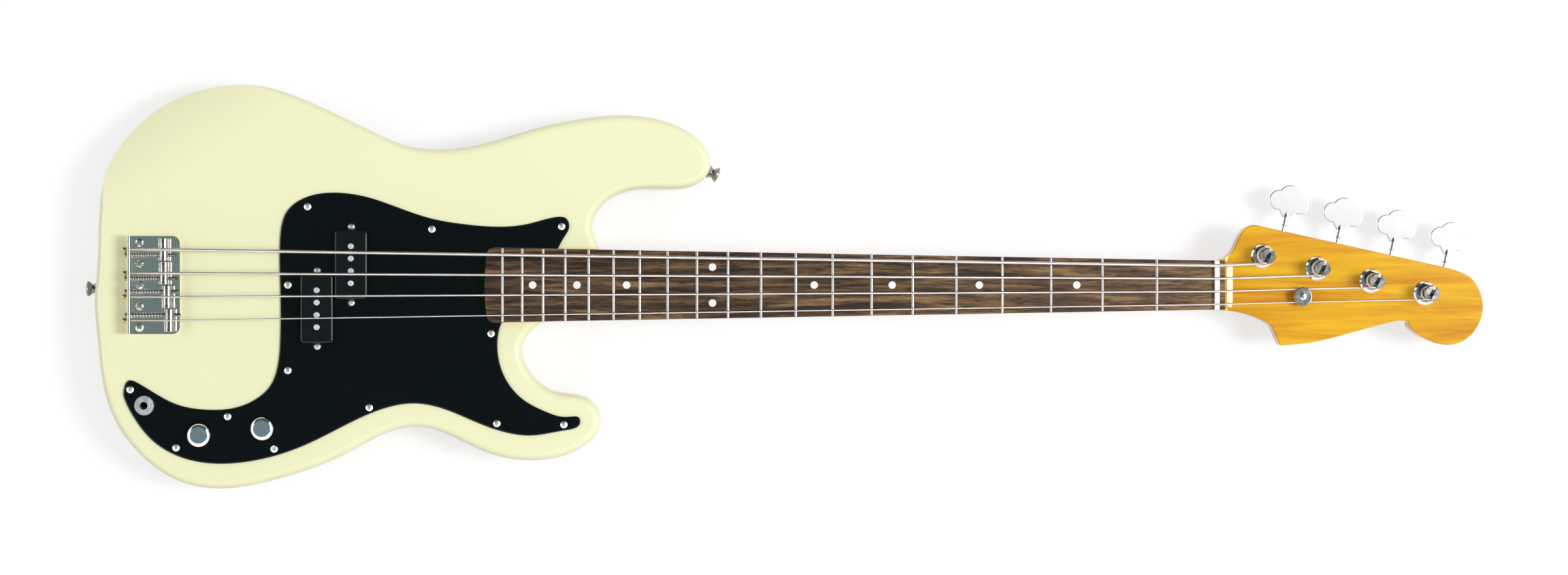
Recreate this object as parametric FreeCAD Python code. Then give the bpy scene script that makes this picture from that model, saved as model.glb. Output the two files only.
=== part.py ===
import FreeCAD, Part
import math
import os

V = FreeCAD.Vector
os.makedirs("parts", exist_ok=True)

# Four string electric bass guitar, lying on its back.
# X runs along the strings towards the headstock, Y towards the lowest string, Z out of the front.
# The origin is the centre of the outer face of the neck plate.

# String scale and neck, all lengths in mm
SCALE_LENGTH = 863.6
FRET_COUNT = 20
BOARD_END_X = -38.2
BOARD_OVERHANG = 14.617
NUT_WIDTH = 41.0
BOARD_END_WIDTH = 61.5
BOARD_THICK = 5.5
BOARD_RADIUS = 240.0
BOARD_END_BULGE = 2.4
BOARD_END_CORNER = 6.0
HEEL_SETBACK = 3.0
HEEL_THICK = 19.9
HEEL_FRONT_X = 56.0
HEEL_CURVE = 17.0
NECK_DEPTH_NUT = 16.0
NECK_DEPTH_BODY = 17.6
NECK_END_CORNER = 6.0

# Headstock
HEAD_DROP = 4.2
HEAD_THICK = 14.5
HEAD_EDGE = 1.6
HEAD_CORNER = 3.0
SCOOP_START = 5.2
SCOOP_LENGTH = 11.0
LEDGE_INSET = 0.4
NAPE_START = -6.0
NAPE_END = 19.0
NAPE_LIFT = 0.3

# Body
BODY_THICK = 44.5
BODY_EDGE = 6.5
POCKET_DEPTH = 16.0
POCKET_GAP = 0.15
FOREARM_POINT = (-277.0, 91.0)
FOREARM_HEADING = 32.7
FOREARM_RADIUS = 136.0
FOREARM_LIFT = 0.15
BELLY_X = -98.0
BELLY_INNER_Y = 45.0
BELLY_OUTER_Y = 112.0
BELLY_DEPTH = 17.0
BELLY_RADIUS = 150.0
CONTROL_DEPTH = 35.0
PICKUP_DEPTH = 19.0
CHANNEL_DEPTH = 15.0
CHANNEL_WIDTH = 11.0
CONTROL_RADIUS = 15.0
JACK_ROOM_RADIUS = 11.5
CONTROL_SLOT_WIDTH = 17.0

# Neck plate and its cushion
PLATE_THICK = 1.6
CUSHION_THICK = 0.8
PLATE_LENGTH = 63.5
PLATE_WIDTH = 50.8
PLATE_CORNER = 6.0
PLATE_HOLE_X = 25.4
PLATE_HOLE_Y = 19.05
NECK_SCREW_RADIUS = 2.1
NECK_SCREW_HEAD = 4.2
NECK_SCREW_SUNK = 0.1
NECK_SCREW_REACH = 14.0

# Pickguard and its screws
GUARD_THICK = 2.3
GUARD_BEVEL = 1.0
GUARD_NECK_GAP = 0.35
GUARD_SCREWS = (
    (-182.7, 64.2), (-81.4, 45.9), (24.9, 48.3), (-33.0, -40.0), (-28.3, -114.0),
    (26.7, -115.1), (-132.5, -100.6), (-209.8, -134.3), (-247.5, -107.6), (-289.2, -133.0),
    (-326.2, -85.4), (-198.7, -70.0), (-198.7, 0.0),
)
GUARD_SCREW_RADIUS = 1.45
GUARD_SCREW_HEAD = 2.9
GUARD_SCREW_LENGTH = 11.0

# Frets, nut and dots
FRET_WIDTH = 2.6
FRET_HEIGHT = 1.1
FRET_TANG = 0.56
FRET_TANG_DEPTH = 1.5
SLOT_GAP = 0.03
NUT_THICK = 4.0
NUT_SINK = 1.2
NUT_ABOVE_STRING = 0.3
DOT_FRETS = (3, 5, 7, 9, 15, 17, 19)
DOUBLE_DOT_FRET = 12
DOT_RADIUS = 3.1
DOT_DEPTH = 1.6
DOUBLE_DOT_Y = 14.8
SIDE_DOT_RADIUS = 1.1
SIDE_DOT_DEPTH = 1.5
SIDE_DOT_DOWN = 1.6
DOT_GAP = 0.02

# Truss rod, adjusted at the heel end
ROD_RADIUS = 2.5
ROD_GAP = 0.1
ROD_NUT_RADIUS = 4.0
ROD_NUT_LENGTH = 10.0
ROD_DOWN = 8.5
ROD_STOP = 40.0
ROD_ANCHOR = 8.0

# Strings from the lowest to the highest: diameter and name
STRING_NAMES = ("e", "a", "d", "g")
STRING_DIAMETER = (2.67, 2.16, 1.65, 1.14)
NUT_SPACING = 10.7
SADDLE_SPACING = 19.2
ACTION_NUT = 0.55
ACTION_TWELFTH = 2.1
STRING_SEAT_GAP = 0.05
BALL_RADIUS = 2.2
BALL_LENGTH = 4.6

# Bridge
BRIDGE_LENGTH = 41.2
BRIDGE_WIDTH = 80.0
BRIDGE_SETBACK = 31.7
BRIDGE_THICK = 2.0
BRIDGE_WALL = 2.2
BRIDGE_WALL_HEIGHT = 13.0
BRIDGE_CORNER = 6.0
BRIDGE_SCREW_PITCH = 17.3
BRIDGE_SCREW_SETBACK = 8.7
BRIDGE_SCREW_RADIUS = 1.7
BRIDGE_SCREW_HEAD = 3.4
BRIDGE_SCREW_LENGTH = 22.0
WALL_STRING_RISE = 4.4
BARREL_RADIUS = 4.1
BARREL_LENGTH = 18.4
BARREL_GROOVE = 0.45
SADDLE_BACK = (2.8, 2.3, -0.2, -1.9)
HEIGHT_SCREW_RADIUS = 1.3
HEIGHT_SCREW_OUT = 7.3
HEIGHT_SCREW_GAP = 0.03
INTONATION_OFFSET = 4.3
INTONATION_RADIUS = 1.5
INTONATION_HEAD = 2.0
INTONATION_HEAD_LENGTH = 2.2
INTONATION_PAST = 9.0
THREAD_GAP = 0.05
SPRING_WIRE = 0.3
SPRING_COIL = 2.0
SPRING_TURNS = 11
SPRING_END_GAP = 0.15

# Split pickups
COVER_LENGTH = 56.6
COVER_WIDTH = 26.6
COVER_RISE = 7.2
COVER_DEEP = 11.0
COVER_WALL = 1.3
COVER_CORNER = 3.0
COVER_EDGE = 1.6
BASS_PICKUP = (-147.0, 16.6)
TREBLE_PICKUP = (-174.7, -19.3)
EAR_OUT = 31.0
EAR_RADIUS = 4.2
EAR_THICK = 2.6
EAR_DROP = 0.2
POLE_RADIUS = 2.4
POLE_RISE = 1.0
POLE_PAIR = 10.0
POLE_STRING_PITCH = 20.2
BOBBIN_GAP = 0.3
PICKUP_SCREW_RADIUS = 1.4
PICKUP_SCREW_HEAD = 2.6
PICKUP_CUT_GAP = 0.4
ROUTE_GAP = 1.2

# Controls
VOLUME_AT = (-218.4, -117.0)
TONE_AT = (-269.3, -122.2)
JACK_AT = (-314.8, -98.4)
POT_RADIUS = 12.0
POT_HEIGHT = 9.0
POT_LUG = 5.0
POT_BUSH_RADIUS = 4.7
POT_BUSH_RISE = 6.0
POT_SHAFT_RADIUS = 3.1
POT_SHAFT_RISE = 15.0
POT_HOLE_GAP = 0.2
POT_SHAFT_GAP = 0.05
NUT_ACROSS_CORNERS = 7.0
PANEL_NUT_THICK = 2.3
WASHER_RADIUS = 7.9
WASHER_THICK = 0.8
KNOB_RADIUS = 9.5
KNOB_HEIGHT = 15.5
KNOB_LIFT = 0.6
KNOB_WALL = 1.2
KNOB_TOP = 3.0
KNOB_ROUND = 3.2
SET_SCREW_RADIUS = 1.5
JACK_BORE = 3.2
JACK_BUSH_RADIUS = 4.7
JACK_BUSH_RISE = 4.2
JACK_BUSH_DOWN = 5.0
JACK_FRAME = 9.5
JACK_LEAF_LENGTH = 20.0
WIRE_RADIUS = 0.7
WIRE_BEND = 4.0

# Strap buttons
TAIL_BUTTON_Y = -3.0
TAIL_BUTTON_X = -355.5
HORN_BUTTON = (146.6, 95.0)
HORN_BUTTON_HEADING = -22.0
BUTTON_HEIGHT = 9.6
BUTTON_HEAD = 6.5
BUTTON_BASE = 5.6
BUTTON_WAIST = 3.9
STRAP_SCREW_RADIUS = 2.2
STRAP_SCREW_HEAD = 3.6
STRAP_SCREW_LENGTH = 30.0

# Tuners: posts stand in a slanted row, keys point out across it
POST_FROM_NUT = 43.3
POST_Y = 24.3
POST_PITCH = 47.35
TUNER_SLANT = -12.65
POST_RADIUS = 4.7
POST_WAIST = 4.6
POST_FLANGE = 6.9
POST_CAP = 6.6
POST_CAP_HEIGHT = 3.2
POST_HEIGHT = 21.0
POST_FOOT = 4.4
POST_RUN_GAP = 0.05
POST_SLOT = 3.3
POST_HOLE = 1.8
FERRULE_RADIUS = 10.2
FERRULE_RISE = 2.6
FERRULE_BODY = 8.7
FERRULE_DEEP = 8.0
TUNER_HOLE_GAP = 0.05
TUNER_PLATE = 1.6
TUNER_PLATE_U = (-16.5, 26.5)
TUNER_PLATE_N = 17.0
TUNER_PLATE_CORNER = 5.0
TUNER_SCREW_U = (-12.5, 22.5)
TUNER_SCREW_N = 13.4
TUNER_SCREW_RADIUS = 1.3
TUNER_SCREW_HEAD = 2.5
TUNER_SCREW_LENGTH = 10.0
GEAR_TEETH = 24
GEAR_PITCH_RADIUS = 12.9
GEAR_FACE = 3.4
TOOTH_ADDENDUM = 0.85
TOOTH_DEDENDUM = 1.2
TOOTH_HALF = 0.48
TOOTH_SLOPE = 0.28
GEAR_BORE = 3.0
GEAR_FIT = 0.02
GEAR_SCREW_RADIUS = 1.3
GEAR_SCREW_HEAD = 3.6
WORM_PITCH_RADIUS = 3.8
WORM_TURNS = 4
WORM_DOWN = 6.9
KEY_SHAFT_RADIUS = 2.3
LUG_THICK = 3.0
LUG_SIDE = 4.3
LUG_BELOW = 4.2
WORM_LUG_GAP = 0.35
KEY_STEM_START = 30.0
KEY_BLADE_START = 38.5
KEY_THICK = 2.6
KEY_LOBE_RADIUS = 8.6
KEY_LOBE_OUT = 8.8
KEY_LOBE_AT = 50.8
KEY_TOP_RADIUS = 10.2
KEY_TOP_AT = 55.2
KEY_STEM_RADIUS = 2.9
WINDING_TURNS = 2.25
WINDING_GAP = 0.55
WINDING_SEAT = 0.15
WINDING_START = 5.2

# String tree
TREE_FROM_NUT = 75.5
TREE_Y = -9.6
TREE_RADIUS = 7.9
TREE_THICK = 2.4
TREE_STEM = 3.4
TREE_RISE = 6.6
TREE_PRESS = 6.6
TREE_SCREW_RADIUS = 1.5
TREE_SCREW_HEAD = 2.9

# Levels that follow from the sizes above
BODY_BACK = PLATE_THICK + CUSHION_THICK
BODY_TOP = BODY_BACK + BODY_THICK
GUARD_TOP = BODY_TOP + GUARD_THICK
POCKET_FLOOR = BODY_TOP - POCKET_DEPTH
BOARD_BOTTOM = POCKET_FLOOR + HEEL_THICK
BOARD_TOP = BOARD_BOTTOM + BOARD_THICK
FRET_TOP = BOARD_TOP + FRET_HEIGHT
HEAD_FACE = BOARD_BOTTOM - HEAD_DROP
HEAD_BACK = HEAD_FACE - HEAD_THICK
BOARD_LENGTH = SCALE_LENGTH * (1 - 2 ** (-FRET_COUNT / 12)) + BOARD_OVERHANG
NUT_X = BOARD_END_X + BOARD_LENGTH
BRIDGE_REAR_X = NUT_X - SCALE_LENGTH - BRIDGE_SETBACK
HEEL_END_X = BOARD_END_X + HEEL_SETBACK
BRIDGE_TOP = BODY_TOP + BRIDGE_THICK

# Corner points of the flat outlines, seen from the front
BODY_OUTLINE = (
    (-355.5, -3.0), (-352.5, 55.0), (-343.8, 100.0), (-325.7, 126.5), (-299.5, 148.5),
    (-260.0, 162.3), (-220.7, 163.2), (-181.2, 150.5), (-128.4, 125.4), (-101.9, 114.6),
    (-75.4, 111.7), (-48.8, 114.6), (4.4, 129.7), (44.4, 137.8), (71.1, 140.6),
    (97.9, 138.6), (124.7, 130.0), (143.0, 115.0), (148.4, 101.0), (141.0, 86.6),
    (124.7, 80.4), (97.9, 80.2), (72.0, 75.5), (55.0, 62.0), (50.0, 48.6),
    (53.5, 35.5), (60.0, 20.0), (60.0, -4.0), (48.0, -17.5), (25.0, -24.5),
    (7.0, -32.0), (-4.2, -42.5), (-8.0, -54.3), (-4.4, -67.2), (6.0, -80.6),
    (22.0, -89.0), (44.5, -93.2), (55.5, -104.0), (55.7, -119.0), (44.0, -132.8),
    (5.0, -144.7), (-35.6, -138.6), (-75.4, -120.6), (-95.0, -116.6), (-115.0, -120.4),
    (-155.0, -140.4), (-207.6, -159.3), (-247.0, -166.8), (-286.4, -161.2), (-320.0, -138.0),
    (-338.7, -112.4), (-349.5, -80.0), (-354.0, -40.0),
)
GUARD_OUTLINE = (
    (-331.0, -83.4), (-326.6, -77.8), (-318.8, -80.8), (-308.0, -87.4), (-291.6, -96.4),
    (-265.4, -101.9), (-239.1, -99.8), (-224.0, -93.0), (-212.8, -82.3), (-207.3, -68.0),
    (-204.9, -45.0), (-204.9, 0.0), (-204.9, 40.0), (-199.5, 60.3), (-184.0, 71.9),
    (-160.1, 75.8), (-133.7, 72.1), (-107.2, 63.0), (-80.7, 54.4), (-54.2, 50.0),
    (-27.6, 48.0), (-1.0, 50.7), (20.0, 56.0), (28.6, 55.0), (31.2, 48.5),
    (27.0, 39.5), (20.0, 26.0), (0.0, -3.0), (-21.0, -25.0), (-26.6, -38.0),
    (-27.8, -50.0), (-26.0, -64.5), (-18.8, -81.1), (-6.0, -94.8), (12.4, -104.6),
    (31.0, -108.6), (39.4, -109.6), (40.2, -113.4), (27.1, -119.9), (-0.9, -124.0),
    (-40.9, -114.6), (-67.4, -103.3), (-94.0, -97.3), (-133.7, -106.2), (-173.3, -125.8),
    (-199.7, -136.9), (-226.0, -143.7), (-252.3, -146.2), (-278.5, -142.9), (-304.7, -130.0),
    (-322.8, -108.8), (-331.0, -92.5),
)

# Headstock outline, X measured from the nut
HEAD_SHOULDER = (41.0, 49.7)
HEAD_STRAIGHT_END = (199.2, 15.1)
HEAD_NOTCH = (161.9, -29.9)
HEAD_LOW_CORNER = (57.9, -51.0)
HEAD_UPPER_FLARE = (
    (7.0, 21.4), (13.4, 24.2), (18.3, 29.7), (21.3, 36.2), (24.9, 43.4), (29.6, 48.6), (35.0, 50.5),
    HEAD_SHOULDER,
)
HEAD_TIP_CURVE = (
    HEAD_STRAIGHT_END, (214.7, 10.2), (222.5, 5.2), (230.3, -8.5), (231.8, -17.0), (229.5, -29.8),
    (220.6, -42.9), (208.9, -49.4), (199.2, -50.3), (183.6, -45.8), (168.0, -33.1), HEAD_NOTCH,
)
HEAD_LOWER_EDGE = (HEAD_NOTCH, (152.5, -31.3), (137.0, -35.2), (90.5, -47.3), HEAD_LOW_CORNER)
HEAD_LOWER_FLARE = (
    HEAD_LOW_CORNER, (54.3, -42.3), (51.4, -35.6), (42.2, -29.2), (21.8, -22.6), (10.0, -21.2),
)


def line(a, b):
    return Part.LineSegment(a, b).toShape()


def box(x0, x1, y0, y1, z0, z1):
    return Part.makeBox(x1 - x0, y1 - y0, z1 - z0, V(x0, y0, z0))


def disc(radius, height, x, y, z):
    return Part.makeCylinder(radius, height, V(x, y, z))


def at_level(points, z):
    return [V(x, y, z) for x, y in points]


def heading_vector(degrees):
    return V(math.cos(math.radians(degrees)), math.sin(math.radians(degrees)), 0)


def closed_curve(points, z, runs=8):
    """Face inside one smooth closed curve through the points, with its rim in several runs."""
    curve = Part.BSplineCurve()
    curve.interpolate(Points=at_level(points, z), PeriodicFlag=True)
    first = curve.FirstParameter
    step = (curve.LastParameter - first) / runs
    edges = [curve.toShape(first + k * step, first + (k + 1) * step) for k in range(runs)]
    return Part.Face(Part.Wire(edges))


def open_curve(points, start, end, z):
    """Smooth edge through the points, leaving and arriving at the given headings."""
    curve = Part.BSplineCurve()
    curve.interpolate(
        Points=at_level(points, z),
        InitialTangent=heading_vector(start),
        FinalTangent=heading_vector(end),
    )
    return curve.toShape()


def polygon(points, z):
    corners = at_level(points, z)
    return Part.Face(Part.makePolygon(corners + corners[:1]))


def upright_edges(shape, places):
    """Vertical edges of a flat prism that stand at the given plan points."""
    found = []
    for edge in shape.Edges:
        a = edge.Vertexes[0].Point
        b = edge.Vertexes[-1].Point
        if abs(a.x - b.x) + abs(a.y - b.y) > 1e-6 or abs(a.z - b.z) < 1e-6:
            continue
        if any(math.hypot(a.x - x, a.y - y) < 0.01 for x, y in places):
            found.append(edge)
    return found


def level_edges(shape, z):
    return [e for e in shape.Edges if abs(e.BoundBox.ZMin - z) < 1e-4 and abs(e.BoundBox.ZMax - z) < 1e-4]


def rounded_slab(x0, x1, y0, y1, z0, z1, corner):
    slab = box(x0, x1, y0, y1, z0, z1)
    return slab.makeFillet(corner, upright_edges(slab, ((x0, y0), (x0, y1), (x1, y0), (x1, y1))))


def slot(a, b, width, z0, z1):
    """Straight groove with round ends between two plan points."""
    length = math.hypot(b[0] - a[0], b[1] - a[1])
    bar = box(0, length, -width / 2, width / 2, 0, z1 - z0)
    bar = bar.fuse([disc(width / 2, z1 - z0, 0, 0, 0), disc(width / 2, z1 - z0, length, 0, 0)])
    turn = math.degrees(math.atan2(b[1] - a[1], b[0] - a[0]))
    bar.Placement = FreeCAD.Placement(V(a[0], a[1], z0), FreeCAD.Rotation(V(0, 0, 1), turn))
    return bar.removeSplitter()


def turned(profile):
    """Solid turned about Z from a closed outline of (radius, height) points."""
    points = [V(r, 0, z) for r, z in profile]
    face = Part.Face(Part.makePolygon(points + points[:1]))
    return face.revolve(V(0, 0, 0), V(0, 0, 1), 360)


def moved(shape, x, y, z):
    copy = shape.copy()
    copy.translate(V(x, y, z))
    return copy


def aimed(shape, place, direction):
    """Copy of a shape made about +Z, set at a place with its +Z along the direction."""
    copy = shape.copy()
    copy.Placement = FreeCAD.Placement(place, FreeCAD.Rotation(V(0, 0, 1), direction))
    return copy


def cross_recess(radius, depth, top):
    bar = box(-radius, radius, -0.35, 0.35, top - depth, top + 2)
    return bar.fuse(box(-0.35, 0.35, -radius, radius, top - depth, top + 2))


def sunk_screw(head, shank, length, rise):
    """Screw with a cone head; Z=0 is the surface it is sunk into, the point is down."""
    cone = head - shank
    solid = turned((
        (0, rise), (head * 0.55, rise * 0.72), (head, 0), (shank, -cone),
        (shank, -length + 2 * shank), (0.4, -length), (0, -length),
    ))
    return solid.cut(cross_recess(head * 0.5, 1.2, rise)).removeSplitter()


def sink_hole(head, shank, gap, depth):
    """Space for a sunk screw, wider than it by the gap."""
    cone = head - shank
    return turned((
        (0, 3), (head + gap, 3), (head + gap, 0), (shank + gap, -cone),
        (shank + gap, -depth), (0, -depth),
    ))


def pan_screw(head, shank, length, rise):
    """Screw with a flat seat at Z=0, a domed head above and the point down."""
    solid = turned((
        (0, rise), (head * 0.6, rise * 0.85), (head, rise * 0.4), (head, 0), (shank, 0),
        (shank, -length + 2 * shank), (0.4, -length), (0, -length),
    ))
    return solid.cut(cross_recess(head * 0.5, rise * 0.6, rise)).removeSplitter()


def corner_arc(before, corner, after, radius):
    """Tangent arc that rounds a path corner; returns its first, middle and last points."""
    a = (before - corner).normalize()
    b = (after - corner).normalize()
    half = (math.pi - a.getAngle(b)) / 2
    reach = radius * math.tan(half)
    middle = (a + b).normalize()
    return corner + a * reach, corner + middle * (radius / math.cos(half) - radius), corner + b * reach


def bent_path(points, radii):
    """Edges of straight runs joined by tangent arcs, and the last straight direction."""
    edges = []
    start = points[0]
    for i, radius in enumerate(radii):
        first, middle, last = corner_arc(points[i], points[i + 1], points[i + 2], radius)
        edges.append(line(start, first))
        edges.append(Part.Arc(first, middle, last).toShape())
        start = last
    edges.append(line(start, points[-1]))
    return edges


def arc_from(start, tangent, end):
    """Circular arc that leaves start along the tangent and ends at end."""
    chord = end - start
    side = chord - tangent * chord.dot(tangent)
    if side.Length < 1e-7:
        return line(start, end)
    side.normalize()
    radius = chord.Length ** 2 / (2 * chord.dot(side))
    centre = start + side * radius
    middle = (start + end) * 0.5 - centre
    return Part.Arc(start, centre + middle.normalize() * radius, end).toShape()


def biarc(p, tp, q, tq):
    """Two tangent arcs from p along tp to q along tq."""
    v = q - p
    t = tp + tq
    k = 2 * (1 - tp.dot(tq))
    d = (-v.dot(t) + math.sqrt(v.dot(t) ** 2 + k * v.dot(v))) / k
    joint = (p + tp * d + q - tq * d) * 0.5
    second = arc_from(q, tq * -1, joint)
    return [arc_from(p, tp, joint), second]


def coil(centre, first, second, axis, radius, pitch, turns):
    """Points and directions a quarter turn apart on a coil that starts along first."""
    steps = int(round(turns * 4))
    points = []
    tangents = []
    for i in range(steps + 1):
        angle = i * math.pi / 2
        out = first * math.cos(angle) + second * math.sin(angle)
        along = second * math.cos(angle) - first * math.sin(angle)
        points.append(centre + out * radius + axis * (pitch * i / 4))
        tangents.append((along * (2 * math.pi * radius) + axis * pitch).normalize())
    return points, tangents


def coil_edges(points, tangents):
    edges = []
    for i in range(len(points) - 1):
        edges += biarc(points[i], tangents[i], points[i + 1], tangents[i + 1])
    return edges


def tube(edges, start, tangent, radius):
    """Round wire swept along a tangent path of straight runs and arcs."""
    ring = Part.Wire([Part.Circle(start, tangent, radius).toShape()])
    path = Part.Wire(Part.__sortEdges__(edges))
    return path.makePipeShell([ring], True, False)


def least_gap(edges, radius, apart):
    """Smallest space between stretches of one wire that lie further apart along it than apart."""
    points = []
    run = 0.0
    for edge in Part.__sortEdges__(edges):
        count = max(2, int(edge.Length / 0.5))
        for point in edge.discretize(count):
            if points:
                run += (point - points[-1][1]).Length
            points.append((run, point))
    best = 1e9
    for i, (run_a, a) in enumerate(points):
        for run_b, b in points[i + 1:]:
            if run_b - run_a > apart:
                best = min(best, (a - b).Length - 2 * radius)
    return best


def save(name, solids):
    """Write one node; several solids stay separate in it."""
    shape = solids[0] if len(solids) == 1 else Part.makeCompound(solids)
    shape.exportStep("parts/" + name + ".step")


def half_width(x):
    share = (NUT_X - x) / BOARD_LENGTH
    return (NUT_WIDTH + (BOARD_END_WIDTH - NUT_WIDTH) * share) / 2


def neck_plan(x0, x1, grow, z0, z1):
    """Tapered block that follows the sides of the neck between two stations."""
    face = polygon((
        (x0, -half_width(x0) - grow), (x1, -half_width(x1) - grow),
        (x1, half_width(x1) + grow), (x0, half_width(x0) + grow),
    ), z0)
    return face.extrude(V(0, 0, z1 - z0))


def fret_x(number):
    return NUT_X - SCALE_LENGTH * (1 - 2 ** (-number / 12))


def board_drop(y):
    return BOARD_RADIUS - math.sqrt(BOARD_RADIUS ** 2 - y * y)


# The shared places of the strings, the tuners and the pickups
NUT_Y = [NUT_SPACING * (1.5 - i) for i in range(4)]
SADDLE_Y = [SADDLE_SPACING * (1.5 - i) for i in range(4)]
SADDLE_X = [NUT_X - SCALE_LENGTH - back for back in SADDLE_BACK]
NUT_STRING_Z = [FRET_TOP + ACTION_NUT - board_drop(y) for y in NUT_Y]
SADDLE_STRING_Z = []
for i in range(4):
    middle_level = FRET_TOP + ACTION_TWELFTH - board_drop((NUT_Y[i] + SADDLE_Y[i]) / 2)
    SADDLE_STRING_Z.append(2 * middle_level - NUT_STRING_Z[i])
BARREL_Z = [z + BARREL_GROOVE - BARREL_RADIUS - STRING_SEAT_GAP for z in SADDLE_STRING_Z]
INTONATION_Y = []
for y in SADDLE_Y:
    INTONATION_Y.append(y - INTONATION_OFFSET if y > 0 else y + INTONATION_OFFSET)
WALL_X = BRIDGE_REAR_X + BRIDGE_WALL
PICKUPS = (BASS_PICKUP, TREBLE_PICKUP)
COVER_TOP = GUARD_TOP + COVER_RISE
COVER_BOTTOM = GUARD_TOP - COVER_DEEP
EAR_TOP = GUARD_TOP - EAR_DROP
PICKUP_FLOOR = BODY_TOP - PICKUP_DEPTH
TUNE_U = heading_vector(TUNER_SLANT)
POSTS = []
for i in range(4):
    POSTS.append(V(NUT_X + POST_FROM_NUT, POST_Y, 0) + TUNE_U * (POST_PITCH * i))
TREE_AT = (NUT_X + TREE_FROM_NUT, TREE_Y)
WORM_U = GEAR_PITCH_RADIUS + WORM_PITCH_RADIUS
WORM_LEAD = 2 * math.pi * GEAR_PITCH_RADIUS / GEAR_TEETH
NECK_HOLES = []
for x in (-PLATE_HOLE_X, PLATE_HOLE_X):
    NECK_HOLES.append((x, -PLATE_HOLE_Y))
    NECK_HOLES.append((x, PLATE_HOLE_Y))
ROD_Z = BOARD_BOTTOM - ROD_DOWN


def tuner_place(i):
    """Placement of tuner i: its local X along the row, Y towards the key, Z=0 on the head back."""
    turn = FreeCAD.Rotation(V(0, 0, 1), TUNER_SLANT)
    return FreeCAD.Placement(V(POSTS[i].x, POSTS[i].y, HEAD_BACK), turn)


def at_tuner(shape, i):
    copy = shape.copy()
    copy.Placement = tuner_place(i).multiply(copy.Placement)
    return copy


# Body: one slab with rounded edges, comfort contours, neck pocket and cavities
body = closed_curve(BODY_OUTLINE, BODY_BACK).extrude(V(0, 0, BODY_THICK))
body = body.makeFillet(BODY_EDGE, level_edges(body, BODY_TOP) + level_edges(body, BODY_BACK))
forearm = box(-260, 260, 0, 140, -32, 20)
forearm = forearm.cut(
    Part.makeCylinder(FOREARM_RADIUS, 600, V(-300, 0, FOREARM_LIFT - FOREARM_RADIUS), V(1, 0, 0))
)
forearm.Placement = FreeCAD.Placement(
    V(FOREARM_POINT[0], FOREARM_POINT[1], BODY_TOP), FreeCAD.Rotation(V(0, 0, 1), FOREARM_HEADING)
)
body = body.cut(forearm)
belly_run = V(0, BELLY_OUTER_Y - BELLY_INNER_Y, BELLY_DEPTH).normalize()
belly_down = V(0, belly_run.z, -belly_run.y)
belly_foot = V(BELLY_X, BELLY_INNER_Y, BODY_BACK) + belly_down * BELLY_RADIUS - belly_run * 80
body = body.cut(Part.makeCylinder(BELLY_RADIUS, 300, belly_foot, belly_run))


def heel_block(grow, x1, z0, z1):
    x0 = HEEL_END_X - grow
    block = neck_plan(x0, x1, grow, z0, z1)
    rear = ((x0, half_width(x0) + grow), (x0, -half_width(x0) - grow))
    return block.makeFillet(NECK_END_CORNER, upright_edges(block, rear))


room = [heel_block(POCKET_GAP, NUT_X, POCKET_FLOOR, BODY_TOP + 20)]
room.append(slot(VOLUME_AT, TONE_AT, CONTROL_SLOT_WIDTH, BODY_TOP - CONTROL_DEPTH, BODY_TOP + 1))
room.append(slot(TONE_AT, JACK_AT, CONTROL_SLOT_WIDTH, BODY_TOP - CONTROL_DEPTH, BODY_TOP + 1))
for x, y in (VOLUME_AT, TONE_AT):
    room.append(disc(CONTROL_RADIUS, CONTROL_DEPTH + 1, x, y, BODY_TOP - CONTROL_DEPTH))
room.append(disc(JACK_ROOM_RADIUS, CONTROL_DEPTH + 1, JACK_AT[0], JACK_AT[1], BODY_TOP - CONTROL_DEPTH))
channel_start = (TREBLE_PICKUP[0], TREBLE_PICKUP[1] - COVER_LENGTH / 2)
room.append(slot(channel_start, VOLUME_AT, CHANNEL_WIDTH, BODY_TOP - CHANNEL_DEPTH, BODY_TOP + 1))
for x, y in PICKUPS:
    wide = COVER_WIDTH / 2 + ROUTE_GAP
    long = COVER_LENGTH / 2 + ROUTE_GAP
    room.append(rounded_slab(
        x - wide, x + wide, y - long, y + long, PICKUP_FLOOR, BODY_TOP + 1, COVER_CORNER + ROUTE_GAP
    ))
    ear_route = 2 * (EAR_RADIUS + ROUTE_GAP)
    room.append(slot((x, y - EAR_OUT), (x, y + EAR_OUT), ear_route, PICKUP_FLOOR, BODY_TOP + 1))
for x, y in NECK_HOLES:
    room.append(disc(NECK_SCREW_RADIUS + 0.3, BODY_THICK, x, y, BODY_BACK - 1))
for x, y in GUARD_SCREWS:
    guard_screw_foot = BODY_TOP - GUARD_SCREW_LENGTH
    room.append(disc(GUARD_SCREW_RADIUS + SLOT_GAP, GUARD_SCREW_LENGTH + 1, x, y, guard_screw_foot))
bridge_screw_x = BRIDGE_REAR_X + BRIDGE_SCREW_SETBACK
for k in range(-2, 3):
    room.append(disc(
        BRIDGE_SCREW_RADIUS + SLOT_GAP, BRIDGE_SCREW_LENGTH + 1, bridge_screw_x,
        k * BRIDGE_SCREW_PITCH, BODY_TOP - BRIDGE_SCREW_LENGTH,
    ))
for x, y in PICKUPS:
    for out in (-EAR_OUT, EAR_OUT):
        room.append(disc(PICKUP_SCREW_RADIUS + SLOT_GAP, 9, x, y + out, PICKUP_FLOOR - 8))
button_level = BODY_BACK + BODY_THICK / 2
TAIL_AIM = V(-1, 0, 0)
HORN_AIM = heading_vector(HORN_BUTTON_HEADING)
TAIL_SEAT = V(TAIL_BUTTON_X, TAIL_BUTTON_Y, button_level)
HORN_SEAT = V(HORN_BUTTON[0], HORN_BUTTON[1], button_level)
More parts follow.
